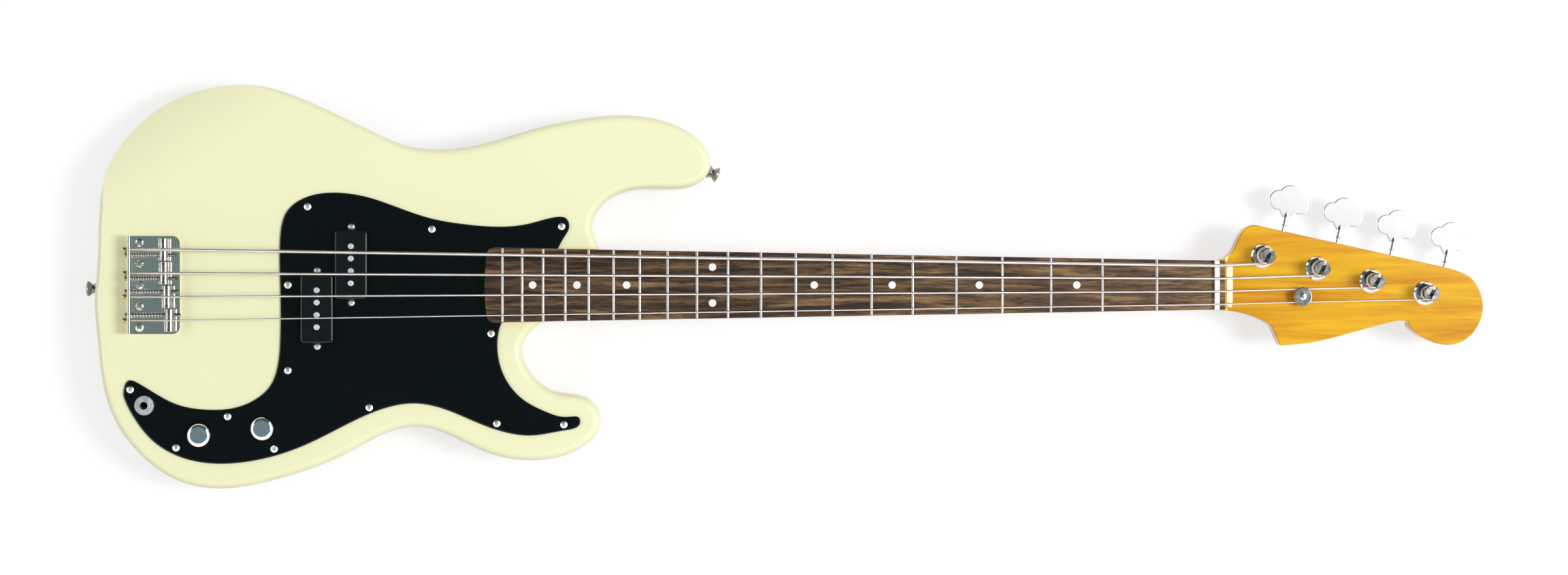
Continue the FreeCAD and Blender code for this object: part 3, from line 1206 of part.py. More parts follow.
nuts.append(moved(nut_ring, jx, jy, GUARD_TOP + WASHER_THICK))
save("potentiometers", pots)
save("panel_nuts", nuts)
bush_low = BODY_TOP - JACK_BUSH_DOWN
jack = disc(JACK_BUSH_RADIUS, GUARD_THICK + JACK_BUSH_RISE, jx, jy, BODY_TOP)
frame = box(jx - 7, jx + JACK_FRAME, jy - 6, jy + 6, bush_low, BODY_TOP)
leaf = box(jx + JACK_FRAME - 2, jx + JACK_FRAME, jy - 3, jy + 3, bush_low - JACK_LEAF_LENGTH, bush_low)
contact = box(
    jx + JACK_BORE + 0.4, jx + JACK_FRAME, jy - 3, jy + 3,
    bush_low - JACK_LEAF_LENGTH, bush_low - JACK_LEAF_LENGTH + 1.5,
)
jack = jack.fuse([frame, leaf, contact]).removeSplitter()
jack = jack.cut(disc(JACK_BORE, 60, jx, jy, bush_low - 40))
save("output_jack", [jack])

cap_x = (VOLUME_AT[0] + TONE_AT[0]) / 2
cap_y = (VOLUME_AT[1] + TONE_AT[1]) / 2
cap_z = BODY_TOP - POT_HEIGHT / 2
cap = rounded_slab(cap_x - 2.5, cap_x + 2.5, cap_y - 5, cap_y + 5, cap_z - 4, cap_z + 4, 1.5)
lead_left = TONE_AT[0] + POT_RADIUS + SLOT_GAP
lead_right = VOLUME_AT[0] - POT_RADIUS - SLOT_GAP
cap = cap.fuse(Part.makeCylinder(0.4, lead_right - lead_left, V(lead_left, cap_y, cap_z), V(1, 0, 0)))
save("capacitor", [cap.removeSplitter()])

# Leads inside the cavities, each one tube with rounded bends
channel_z = BODY_TOP - CHANNEL_DEPTH + WIRE_RADIUS + 0.3
core_low = COVER_BOTTOM - SLOT_GAP
tx, ty = TREBLE_PICKUP
vx, vy = VOLUME_AT
ox, oy = TONE_AT
pick_start = V(tx, ty - COVER_LENGTH / 2 + 3.0, core_low)
pick_low = V(tx, pick_start.y, channel_z)
along = V(tx - vx, pick_start.y - vy, 0).normalize()
pick_turn = V(vx, vy, channel_z) + along * 6
pick_end = V(pick_turn.x, pick_turn.y, BODY_TOP - POT_HEIGHT - SLOT_GAP)
lead_one = bent_path([pick_start, pick_low, pick_turn, pick_end], [1.6, 2.0])
deep = BODY_TOP - CONTROL_DEPTH + 6
lead_two = bent_path([
    V(vx - 4, vy, BODY_TOP - POT_HEIGHT - SLOT_GAP), V(vx - 4, vy, deep), V(ox - 2, oy, deep),
    V(ox - 2, oy, BODY_TOP - POT_HEIGHT - SLOT_GAP),
], [WIRE_BEND, WIRE_BEND])
lead_three = bent_path([
    V(ox - 8, oy + 2, BODY_TOP - POT_HEIGHT - SLOT_GAP), V(ox - 8, oy + 2, deep), V(jx - 5, jy, deep),
    V(jx - 5, jy, bush_low - SLOT_GAP),
], [WIRE_BEND, WIRE_BEND])
wires = []
for edges in (lead_one, lead_two, lead_three):
    wires.append(tube(edges, edges[0].Vertexes[0].Point, V(0, 0, -1), WIRE_RADIUS))
save("wires", wires)

# Strap buttons and the screws through them, and the string tree on the headstock
button = turned((
    (STRAP_SCREW_RADIUS + SLOT_GAP, 0), (BUTTON_BASE, 0), (BUTTON_BASE, 0.8), (BUTTON_WAIST, 3.4),
    (BUTTON_WAIST, 4.6), (BUTTON_HEAD - 0.6, 7.0), (BUTTON_HEAD, 7.6), (BUTTON_HEAD - 0.5, 8.8),
    (STRAP_SCREW_HEAD + 0.2, BUTTON_HEIGHT), (STRAP_SCREW_HEAD + SLOT_GAP, BUTTON_HEIGHT),
    (STRAP_SCREW_RADIUS + SLOT_GAP, BUTTON_HEIGHT - STRAP_SCREW_HEAD + STRAP_SCREW_RADIUS),
))
strap_screw = sunk_screw(STRAP_SCREW_HEAD, STRAP_SCREW_RADIUS, STRAP_SCREW_LENGTH, 0.8)
buttons = []
small_screws = []
for seat, aim in ((TAIL_SEAT, TAIL_AIM), (HORN_SEAT, HORN_AIM)):
    buttons.append(aimed(button, seat, aim))
    small_screws.append(aimed(strap_screw, seat + aim * BUTTON_HEIGHT, aim))
save("strap_buttons", buttons)
tree_x, tree_y = TREE_AT
tree = disc(TREE_RADIUS, TREE_THICK, 0, 0, TREE_RISE)
tree = tree.makeFillet(0.9, level_edges(tree, TREE_RISE + TREE_THICK))
tree = tree.fuse(disc(TREE_STEM, TREE_RISE, 0, 0, 0)).removeSplitter()
tree = moved(tree, tree_x, tree_y, HEAD_FACE)
tree_hole = sink_hole(TREE_SCREW_HEAD, TREE_SCREW_RADIUS, SLOT_GAP, 14)
tree = tree.cut(moved(tree_hole, tree_x, tree_y, HEAD_FACE + TREE_RISE + TREE_THICK))
save("string_tree", [tree])
tree_screw = sunk_screw(TREE_SCREW_HEAD, TREE_SCREW_RADIUS, TREE_RISE + TREE_THICK + 9, 0.6)
small_screws.append(moved(tree_screw, tree_x, tree_y, HEAD_FACE + TREE_RISE + TREE_THICK))
save("strap_and_tree_screws", small_screws)

# Tuners: plate with two lugs, ferrule, slotted post with a gear, worm shaft with a flat key
tuner_plate = rounded_slab(
    TUNER_PLATE_U[0], TUNER_PLATE_U[1], -TUNER_PLATE_N, TUNER_PLATE_N, -TUNER_PLATE, 0, TUNER_PLATE_CORNER
)
worm_length = WORM_TURNS * WORM_LEAD
lug_start = worm_length / 2 + WORM_LUG_GAP
lugs = []
for side in (1, -1):
    y0 = lug_start if side > 0 else -lug_start - LUG_THICK
    lug = box(
        WORM_U - LUG_SIDE, WORM_U + LUG_SIDE, y0, y0 + LUG_THICK, -WORM_DOWN - LUG_BELOW, -TUNER_PLATE
    )
    lugs.append(lug)
tuner_plate = tuner_plate.fuse(lugs).removeSplitter()
tuner_plate = tuner_plate.cut(Part.makeCylinder(
    KEY_SHAFT_RADIUS + POST_RUN_GAP, 80, V(WORM_U, -40, -WORM_DOWN), V(0, 1, 0)
))
tuner_plate = tuner_plate.cut(disc(POST_RADIUS + POST_RUN_GAP, 10, 0, 0, -5))
tuner_screw_reach = TUNER_SCREW_LENGTH + TUNER_PLATE - 1.5
tuner_screw = pan_screw(TUNER_SCREW_HEAD, TUNER_SCREW_RADIUS, tuner_screw_reach, 1.4)
tuner_screw_places = []
for u in TUNER_SCREW_U:
    for n in (-TUNER_SCREW_N, TUNER_SCREW_N):
        tuner_plate = tuner_plate.cut(disc(TUNER_SCREW_RADIUS + 0.1, 10, u, n, -5))
        tuner_screw_places.append((u, n))
plates = []
tuner_screws = []
ferrules = []
ferrule = turned((
    (POST_FLANGE + POST_RUN_GAP, HEAD_THICK - FERRULE_DEEP), (FERRULE_BODY, HEAD_THICK - FERRULE_DEEP),
    (FERRULE_BODY, HEAD_THICK), (FERRULE_RADIUS, HEAD_THICK), (FERRULE_RADIUS, HEAD_THICK + 0.9),
    (FERRULE_RADIUS - 1.2, HEAD_THICK + FERRULE_RISE - 0.3), (POST_FLANGE + 0.8, HEAD_THICK + FERRULE_RISE),
    (POST_FLANGE + POST_RUN_GAP, HEAD_THICK + FERRULE_RISE - 0.5),
))
for i in range(4):
    plates.append(at_tuner(tuner_plate, i))
    ferrules.append(at_tuner(ferrule, i))
    for u, n in tuner_screw_places:
        screw = aimed(tuner_screw, V(u, n, -TUNER_PLATE), V(0, 0, -1))
        tuner_screws.append(at_tuner(screw, i))
save("tuner_plates", plates)
save("tuner_ferrules", ferrules)
save("tuner_screws", tuner_screws)

gear_low = -WORM_DOWN - GEAR_FACE / 2
gear_high = -WORM_DOWN + GEAR_FACE / 2
face_up = HEAD_THICK + POST_FOOT
cap_low = HEAD_THICK + POST_HEIGHT - POST_CAP_HEIGHT
post_blank = turned((
    (0, gear_low - 0.2), (GEAR_BORE, gear_low - 0.2), (GEAR_BORE, gear_high), (POST_RADIUS, gear_high),
    (POST_RADIUS, HEAD_THICK - FERRULE_DEEP + 1), (POST_FLANGE, HEAD_THICK - FERRULE_DEEP + 2),
    (POST_FLANGE, face_up - 0.6), (POST_WAIST + 0.6, face_up), (POST_WAIST, face_up + 0.5),
    (POST_WAIST, cap_low - 0.8), (POST_WAIST + 0.4, cap_low - 0.2), (POST_CAP, cap_low + 0.6),
    (POST_CAP, HEAD_THICK + POST_HEIGHT - 0.8), (POST_CAP - 0.8, HEAD_THICK + POST_HEIGHT),
    (0, HEAD_THICK + POST_HEIGHT),
))
post_blank = post_blank.cut(disc(GEAR_SCREW_RADIUS + GEAR_FIT, 8, 0, 0, gear_low - 1))


def gear_blank():
    """Spur wheel with a gap between two teeth facing the worm."""
    root = GEAR_PITCH_RADIUS - TOOTH_DEDENDUM
    tip = GEAR_PITCH_RADIUS + TOOTH_ADDENDUM
    low_half = TOOTH_HALF + TOOTH_SLOPE * TOOTH_DEDENDUM
    top_half = TOOTH_HALF - TOOTH_SLOPE * TOOTH_ADDENDUM
    rim = []
    for k in range(GEAR_TEETH):
        angle = 360.0 * (k + 0.5) / GEAR_TEETH
        out = heading_vector(angle)
        side = heading_vector(angle + 90)
        rim.append(out * root - side * low_half)
        rim.append(out * tip - side * top_half)
        rim.append(out * tip + side * top_half)
        rim.append(out * root + side * low_half)
    wheel = Part.Face(Part.makePolygon(rim + rim[:1])).extrude(V(0, 0, GEAR_FACE))
    return wheel.cut(disc(GEAR_BORE + GEAR_FIT, 20, 0, 0, -5))


def worm_blank():
    """Shaft along +Z with a single right-hand thread, its middle at Z=0."""
    root = WORM_PITCH_RADIUS - TOOTH_DEDENDUM + 0.1
    tip = WORM_PITCH_RADIUS + TOOTH_ADDENDUM
    low_half = TOOTH_HALF + TOOTH_SLOPE * TOOTH_DEDENDUM
    top_half = TOOTH_HALF - TOOTH_SLOPE * TOOTH_ADDENDUM
    start = -worm_length / 2 + low_half + 0.05
    height = worm_length - 2 * low_half - 0.1
    helix = Part.makeHelix(WORM_LEAD, height, root)
    helix.rotate(V(0, 0, 0), V(0, 0, 1), 360 * (start / WORM_LEAD) + 180)
    helix.translate(V(0, 0, start))
    thread_start = helix.Edges[0].valueAt(helix.Edges[0].FirstParameter)
    out = V(thread_start.x, thread_start.y, 0).normalize()
    up = V(0, 0, 1)
    foot = out * (root - 0.3)
    crest = out * tip
    level = up * start
    profile = Part.makePolygon([
        foot + level - up * low_half, crest + level - up * top_half,
        crest + level + up * top_half, foot + level + up * low_half, foot + level - up * low_half,
    ])
    thread = Part.Wire(helix.Edges).makePipeShell([profile], True, True)
    core = Part.makeCylinder(root, worm_length, V(0, 0, -worm_length / 2))
    return core.fuse(thread).removeSplitter()


gear = gear_blank()
worm = worm_blank()
shaft_low = -lug_start - LUG_THICK - 1.0
key_shaft = worm.fuse([
    Part.makeCylinder(KEY_SHAFT_RADIUS, worm_length / 2 + lug_start, V(0, 0, shaft_low)),
    Part.makeCylinder(KEY_SHAFT_RADIUS, KEY_BLADE_START + 3 - worm_length / 2, V(0, 0, worm_length / 2)),
])
stem = turned((
    (0, KEY_STEM_START), (KEY_SHAFT_RADIUS + 0.2, KEY_STEM_START), (KEY_STEM_RADIUS, KEY_STEM_START + 1.2),
    (KEY_STEM_RADIUS, KEY_BLADE_START - 1), (KEY_STEM_RADIUS * 0.7, KEY_BLADE_START + 3),
    (0, KEY_BLADE_START + 3),
))
key_shaft = key_shaft.fuse(stem).removeSplitter()
blade_points = (
    (-2.2, KEY_BLADE_START - 2.5), (2.2, KEY_BLADE_START - 2.5), (KEY_LOBE_OUT + 1.0, KEY_LOBE_AT - 5.5),
    (0, KEY_TOP_AT), (-KEY_LOBE_OUT - 1.0, KEY_LOBE_AT - 5.5),
)
blade = polygon(blade_points, -KEY_THICK / 2).extrude(V(0, 0, KEY_THICK))
blade = blade.fuse([
    disc(KEY_LOBE_RADIUS, KEY_THICK, KEY_LOBE_OUT, KEY_LOBE_AT, -KEY_THICK / 2),
    disc(KEY_LOBE_RADIUS, KEY_THICK, -KEY_LOBE_OUT, KEY_LOBE_AT, -KEY_THICK / 2),
    disc(KEY_TOP_RADIUS, KEY_THICK, 0, KEY_TOP_AT, -KEY_THICK / 2),
]).removeSplitter()
rim = level_edges(blade, KEY_THICK / 2) + level_edges(blade, -KEY_THICK / 2)
blade = blade.makeFillet(0.9, rim)
turn_out = FreeCAD.Placement(V(0, 0, 0), FreeCAD.Rotation(V(1, 0, 0), -90))
key_shaft.Placement = turn_out
key = key_shaft.fuse(blade).removeSplitter()
gear_screw = pan_screw(GEAR_SCREW_HEAD, GEAR_SCREW_RADIUS, 6.5, 2.0)
for i in range(4):
    name = STRING_NAMES[i]
    angle, slot_floor = post_slots[i]
    post = at_tuner(post_blank, i)
    post_centre = V(POSTS[i].x, POSTS[i].y, 0)
    cut = box(-20, 20, -POST_SLOT / 2, POST_SLOT / 2, slot_floor, HEAD_FACE + POST_HEIGHT + 5)
    cut.Placement = FreeCAD.Placement(post_centre, FreeCAD.Rotation(V(0, 0, 1), angle))
    hole = disc(POST_HOLE, 40, post_centre.x, post_centre.y, slot_floor - 6)
    post = post.cut([cut, hole, tails[i]])
    save("tuner_post_" + name, [post])
    wheel = at_tuner(moved(gear, 0, 0, gear_low), i)
    small = at_tuner(aimed(gear_screw, V(0, 0, gear_low - 0.2), V(0, 0, -1)), i)
    save("tuner_gear_" + name, [wheel, small])
    save("tuner_key_" + name, [at_tuner(moved(key, WORM_U, 0, -WORM_DOWN), i)])
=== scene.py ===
import bpy
import math
import numpy as np
from mathutils import Matrix


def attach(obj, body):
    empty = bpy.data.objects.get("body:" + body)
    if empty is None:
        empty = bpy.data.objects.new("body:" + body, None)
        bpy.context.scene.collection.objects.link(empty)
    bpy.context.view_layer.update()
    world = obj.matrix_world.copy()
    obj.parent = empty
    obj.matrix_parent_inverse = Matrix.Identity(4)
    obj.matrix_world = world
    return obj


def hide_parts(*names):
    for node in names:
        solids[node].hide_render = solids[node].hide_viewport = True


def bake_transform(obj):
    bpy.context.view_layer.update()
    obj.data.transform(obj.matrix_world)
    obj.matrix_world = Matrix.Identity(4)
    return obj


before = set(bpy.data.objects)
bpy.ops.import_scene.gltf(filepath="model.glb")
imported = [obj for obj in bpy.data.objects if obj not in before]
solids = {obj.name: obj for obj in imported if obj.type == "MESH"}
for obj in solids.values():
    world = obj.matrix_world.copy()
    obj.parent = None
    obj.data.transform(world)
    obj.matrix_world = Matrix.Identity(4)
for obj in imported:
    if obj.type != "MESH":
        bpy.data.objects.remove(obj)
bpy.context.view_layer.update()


# Body: a slab of light wood sawn to an outline with two horns, rounded all round and hollowed
# for the neck, the pickups and the controls. It is sprayed with cream lacquer, rubbed flat and
# polished, so the colour is even and the gloss has only the faintest ripple left by the spray gun.
def finish(name, **plain):
    """A material with one shader; values that are the same all over go on the shader's own sockets."""
    made = bpy.data.materials.new(name)
    made.use_nodes = True
    shader = made.node_tree.nodes["Principled BSDF"]
    for socket, value in plain.items():
        shader.inputs[socket.replace("_", " ")].default_value = value
    return made, made.node_tree, shader


def put(tree, kind, **inputs):
    """One shader node; an input is a plain value, or another node's output to link to it."""
    made = tree.nodes.new("ShaderNode" + kind)
    for name, value in inputs.items():
        socket = made.inputs[name.replace("_", " ")]
        if isinstance(value, bpy.types.NodeSocket):
            tree.links.new(value, socket)
        else:
            socket.default_value = value
    return made


def cloud(tree, size, stretch=(1, 1, 1), detail=3.0, rough=0.5, warp=0.0):
    """Noise from 0 to 1 in the piece's own space: lumps of a size in metres, drawn out per axis."""
    place = put(tree, "TexCoord").outputs["Object"]
    scale = tuple(1.0 / (size * s) for s in stretch)
    spread = put(tree, "Mapping", Vector=place, Scale=scale).outputs["Vector"]
    return put(tree, "TexNoise", Vector=spread, Scale=1.0, Detail=detail, Roughness=rough,
               Distortion=warp).outputs[0]


def shade(tree, value, *stops):
    """Colours along a value from 0 to 1; each stop is (place, red, green, blue) in linear light."""
    made = put(tree, "ValToRGB", Fac=value)
    keys = made.color_ramp.elements
    keys[0].position, keys[1].position = stops[0][0], stops[-1][0]
    keys[0].color = (*stops[0][1:], 1)
    keys[1].color = (*stops[-1][1:], 1)
    for stop in stops[1:-1]:
        keys.new(stop[0]).color = (*stop[1:], 1)
    return made.outputs["Color"]


def span(tree, value, low, high, start=0.25, end=0.75):
    """The value's stretch from start to end, turned into low to high."""
    return put(
        tree, "MapRange", Value=value, From_Min=start, From_Max=end, To_Min=low, To_Max=high,
    ).outputs[0]


def paint(tree, shader, tone, roughness):
    """Leads a colour and a roughness that vary over the surface into the shader."""
    tree.links.new(tone, shader.inputs["Base Color"])
    tree.links.new(roughness, shader.inputs["Roughness"])


def relief(tree, shader, height, depth, socket="Normal"):
    """Fine relief: height from 0 to 1 stands depth metres tall on the surface."""
    bump = put(tree, "Bump", Height=height, Distance=depth, Strength=1.0)
    tree.links.new(bump.outputs["Normal"], shader.inputs[socket])


def dress(material, *names):
    """Gives CAD solids a finish through their own material slots."""
    for name in names:
        for slot in solids[name].material_slots:
            slot.material = material


cream, tree, shader = finish("cream_lacquer", Coat_Weight=0.5, Coat_Roughness=0.06, Specular_IOR_Level=0.25)
tone = shade(tree, cloud(tree, 0.16, detail=2.0), (0.3, 0.880, 0.888, 0.570), (0.7, 0.894, 0.902, 0.584))
paint(tree, shader, tone, span(tree, cloud(tree, 0.02), 0.24, 0.32))
relief(tree, shader, cloud(tree, 0.0022, detail=1.0), 0.000002, "Coat Normal")
dress(cream, "body")


# Neck: one length of maple from the heel in the body to the end of the headstock, shaped round at
# the back and sprayed with amber-tinted lacquer. The lacquer pools in the grain, so the streaks
# that run with the strings show as deeper orange lines. A steel truss rod lies inside it.
amber, tree, shader = finish("amber_maple", Coat_Weight=1.0, Coat_Roughness=0.05, Specular_IOR_Level=0.08)
streaks = cloud(tree, 0.010, (14, 1, 1), detail=6.0, rough=0.62, warp=0.35)
tone = shade(
    tree, streaks,
    (0.30, 0.56, 0.200, 0.003), (0.45, 0.71, 0.335, 0.006),
    (0.58, 0.82, 0.445, 0.009), (0.75, 0.88, 0.535, 0.015),
)
paint(tree, shader, tone, span(tree, streaks, 0.34, 0.26))
relief(tree, shader, cloud(tree, 0.0008, (18, 1, 1), detail=2.0), 0.000006)
dress(amber, "neck")

steel, tree, shader = finish("plain_steel", Metallic=1.0)
tone = shade(tree, cloud(tree, 0.004), (0.3, 0.36, 0.36, 0.37), (0.7, 0.48, 0.48, 0.48))
paint(tree, shader, tone, span(tree, cloud(tree, 0.003), 0.32, 0.46))
dress(steel, "truss_rod")


# Fretboard: a strip of rosewood glued on the neck and planed to a slight arch. Oiled, not sprayed,
# so the surface is satin, with dark bands and open pores that lie along the strings. Toward the nut
# it is painted a little paler: a painted sheen, for light glancing off the board there.
rosewood, tree, shader = finish("oiled_rosewood", Specular_IOR_Level=0.25)
bands = cloud(tree, 0.0045, (16, 1, 1), detail=5.0, rough=0.6, warp=0.5)
pores = cloud(tree, 0.0005, (22, 1, 1), detail=1.0)
open_pores = span(tree, pores, 0.0, 0.22, 0.55, 0.70)
depth = put(tree, "Math", Value=bands)
depth.operation = "SUBTRACT"
tree.links.new(open_pores, depth.inputs[1])
# Painted sheen: the colour is lifted toward the nut, standing in for light glancing off the board.
length = put(tree, "SeparateXYZ", Vector=put(tree, "TexCoord").outputs["Object"]).outputs["X"]
paled_by_painted_sheen = put(tree, "Math", Value=depth.outputs[0])
paled_by_painted_sheen.operation = "ADD"
tree.links.new(span(tree, length, 0.0, 0.10, 0.15, 0.57), paled_by_painted_sheen.inputs[1])
tone = shade(
    tree, paled_by_painted_sheen.outputs[0],
    (0.30, 0.010, 0.007, 0.005), (0.43, 0.042, 0.023, 0.013), (0.55, 0.112, 0.063, 0.030),
    (0.70, 0.280, 0.168, 0.076),
)
paint(tree, shader, tone, span(tree, bands, 0.46, 0.58))
relief(tree, shader, depth.outputs[0], 0.00005)
dress(rosewood, "fretboard")


# Board end: behind the nut the last few millimetres of the rosewood are left on the neck, cut off
# square and rounded over. There the maple hollows down and runs out thinly on the face of the headstock.
def shell(name, grid):
    """Mesh from a grid of points: rows go along the piece, columns close round it, the ends are capped."""
    rows, columns, _ = grid.shape
    at = np.arange(rows * columns).reshape(rows, columns)
    turn = np.roll(at, -1, axis=1)
    quads = np.stack([at[:-1], turn[:-1], turn[1:], at[1:]], axis=-1).reshape(-1, 4)
    mesh = bpy.data.meshes.new(name)
    ends = [at[0][::-1].tolist(), at[-1].tolist()]
    mesh.from_pydata(grid.reshape(-1, 3).tolist(), [], quads.tolist() + ends)
    mesh.shade_smooth()
    made = bpy.data.objects.new(name, mesh)
    bpy.context.scene.collection.objects.link(made)
    return made


def rounded_run(corners, bends, steps=14):
    """Points along straight runs whose corners are rounded by arcs of the given bend radii.

    At a corner the arc starts and ends bend * tan(half the turn) away, and its points swing about
    a centre on the line that halves the corner.
    """
    run = [corners[:1]]
    for i, bend in enumerate(bends):
        back = corners[i] - corners[i + 1]
        back /= np.linalg.norm(back)
        on = corners[i + 2] - corners[i + 1]
        on /= np.linalg.norm(on)
        half = (np.pi - np.arccos(np.clip(back @ on, -1, 1))) / 2
        middle = (back + on) / np.linalg.norm(back + on)
        centre = corners[i + 1] + middle * bend / np.cos(half)
        swing = np.linspace(-half, half, steps)[:, None]
        along = (on - back) / np.linalg.norm(on - back)
        run.append(centre - bend * middle * np.cos(swing) + bend * along * np.sin(swing))
    run.append(corners[-1:])
    return np.concatenate(run)


NUT_BACK = 0.57203
HEAD_FACE = 0.0466
SCOOP_END = 0.5842
SCOOP_RADIUS = 0.0165
SCOOP_DIP = 0.0003
SCOOP_RUN = 0.011
LEDGE_LEVEL = 0.0508
BOARD_END_TOP = 0.0548
BOARD_END_REACH = 0.0062
BOARD_END_HALF = 0.0203
BOARD_END_LEAN = 0.0006
BOARD_END_EDGES = (0.0002, 0.0012)

# The underside lies on the hollow, a round groove across the neck: its level is the groove's lowest
# line plus radius - sqrt(radius^2 - distance^2), with the distance measured along the strings.
hollow_x = np.linspace(NUT_BACK + BOARD_END_REACH, SCOOP_END - SCOOP_RUN, 6)
groove = SCOOP_RADIUS - np.sqrt(SCOOP_RADIUS ** 2 - (SCOOP_END - hollow_x) ** 2)
hollow_z = HEAD_FACE - SCOOP_DIP + groove
over = rounded_run(np.array([
    (NUT_BACK, 0, LEDGE_LEVEL), (NUT_BACK, 0, BOARD_END_TOP),
    (hollow_x[0] - BOARD_END_LEAN, 0, BOARD_END_TOP), (hollow_x[0], 0, hollow_z[0]),
]), BOARD_END_EDGES, 10)
under = np.stack([hollow_x[1:], 0 * hollow_x[1:], hollow_z[1:]], axis=-1)
profile = np.concatenate([over, under])
across = np.linspace(-BOARD_END_HALF, BOARD_END_HALF, 9)
board_end = shell("board_end", profile[None] + np.array([0, 1, 0]) * across[:, None, None])
board_end.data.materials.append(rosewood)
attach(board_end, "instrument")

RUN_OUT_END = 0.5880
RUN_OUT_RADIUS = 0.0255
RUN_OUT_SUNK = 0.00003
RUN_OUT_TUCK = 0.0007

# The run-out rises with the square of the distance from its end, and fades to nothing at both sides.
along = np.linspace(NUT_BACK + BOARD_END_REACH - RUN_OUT_TUCK, RUN_OUT_END, 24)
rise = (RUN_OUT_END - along) ** 2 / (2 * RUN_OUT_RADIUS)
across = np.linspace(-BOARD_END_HALF, BOARD_END_HALF, 41)
fade = 1 - np.abs(across / BOARD_END_HALF) ** 10
top = np.stack(np.broadcast_arrays(
    along, across[:, None], HEAD_FACE - RUN_OUT_SUNK + fade[:, None] * rise,
), axis=-1)
foot = np.stack(np.broadcast_arrays(along[[-1, 0]], across[:, None], HEAD_FACE - SCOOP_DIP), axis=-1)
run_out = shell("hollow_run_out", np.concatenate([top, foot], axis=1))
run_out.data.materials.append(amber)
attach(run_out, "instrument")


# Frets, dots and nut: frets are drawn nickel silver wire hammered into sawn slots, the dots are
# pale plastic rod glued in and sanded flush, and the nut is a slotted bar of bone.
nickel, tree, shader = finish("nickel_silver", Metallic=1.0)
tone = shade(tree, cloud(tree, 0.006), (0.3, 0.43, 0.41, 0.39), (0.7, 0.51, 0.49, 0.47))
paint(tree, shader, tone, span(tree, cloud(tree, 0.001, (1, 8, 1)), 0.32, 0.42))
dress(nickel, "frets")

pearl, tree, shader = finish("dot_plastic", Coat_Weight=0.3, Coat_Roughness=0.1)
tone = shade(tree, cloud(tree, 0.003), (0.3, 0.90, 0.89, 0.86), (0.7, 0.95, 0.94, 0.91))
paint(tree, shader, tone, span(tree, cloud(tree, 0.001), 0.26, 0.38))
dress(pearl, "position_dots")

bone, tree, shader = finish("bone", Subsurface_Weight=0.1, Subsurface_Scale=0.002)
tone = shade(tree, cloud(tree, 0.004, (1, 3, 1)), (0.3, 0.86, 0.84, 0.78), (0.7, 0.92, 0.90, 0.85))
paint(tree, shader, tone, span(tree, cloud(tree, 0.001), 0.30, 0.42))
dress(bone, "nut")


# Plated pieces: neck plate, screws, ferrules, keys and knobs are pressed or turned metal, buffed and
# chromed, so they mirror the room with a trace of polish haze. Tuner posts, string tree and strap
# buttons get a much darker nickel colour, which on the posts is painted shade; panel nuts and small screws
# are satin.
chrome, tree, shader = finish("chrome", Metallic=1.0)
haze = cloud(tree, 0.009, detail=4.0)
tone = shade(tree, haze, (0.3, 0.960, 0.965, 0.970), (0.7, 0.980, 0.985, 0.990))
paint(tree, shader, tone, span(tree, haze, 0.05, 0.11))
dress(
    chrome, "neck_plate", "neck_screws", "bridge_screws", "strap_and_tree_screws", "tuner_plates",
    "tuner_ferrules", "tuner_screws", "volume_knob", "tone_knob",
)
for letter in "eadg":
    dress(chrome, "tuner_key_" + letter)

# A much darker nickel colour; on the tuner posts it is painted shade.
shade_darkened_nickel, tree, shader = finish("dark_nickel_painted_shade", Metallic=1.0)
haze = cloud(tree, 0.003, detail=4.0)
tone = shade(tree, haze, (0.3, 0.28, 0.28, 0.26), (0.7, 0.36, 0.36, 0.34))
paint(tree, shader, tone, span(tree, haze, 0.12, 0.22))
dress(shade_darkened_nickel, "strap_buttons", "string_tree")
for letter in "eadg":
    dress(shade_darkened_nickel, "tuner_post_" + letter)

satin, tree, shader = finish("satin_nickel", Metallic=1.0)
haze = cloud(tree, 0.004, detail=4.0)
tone = shade(tree, haze, (0.3, 0.84, 0.84, 0.83), (0.7, 0.92, 0.92, 0.91))
paint(tree, shader, tone, span(tree, haze, 0.30, 0.42))
dress(satin, "panel_nuts", "output_jack", "pickguard_screws", "pickup_screws")

cushion, tree, shader = finish("cushion_plastic")
tone = shade(tree, cloud(tree, 0.002), (0.3, 0.010, 0.010, 0.010), (0.7, 0.018, 0.018, 0.018))
paint(tree, shader, tone, span(tree, cloud(tree, 0.001), 0.55, 0.70))
dress(cushion, "neck_plate_cushion")


# Bridge: a plate of sheet steel bent up at the back and plated with warm nickel, and on it
# four turned barrels that carry the strings. Each is pulled back by a long screw through the
# wall of the plate and pushed forward by a coil spring.
plate_nickel, tree, shader = finish("plate_nickel", Metallic=1.0)
haze = cloud(tree, 0.006, (1, 5, 1), detail=4.0)
tone = shade(tree, haze, (0.3, 0.92, 0.87, 0.72), (0.7, 0.97, 0.92, 0.78))
paint(tree, shader, tone, span(tree, haze, 0.08, 0.16))
dress(plate_nickel, "bridge_plate")

saddle_metal, tree, shader = finish("turned_steel", Metallic=1.0)
rings = cloud(tree, 0.0006, (30, 1, 30), detail=1.0)
tone = shade(tree, rings, (0.3, 0.31, 0.30, 0.28), (0.7, 0.43, 0.42, 0.39))
paint(tree, shader, tone, span(tree, rings, 0.14, 0.24))
for letter in "eadg":
    dress(saddle_metal, "saddle_" + letter, "intonation_screw_" + letter)


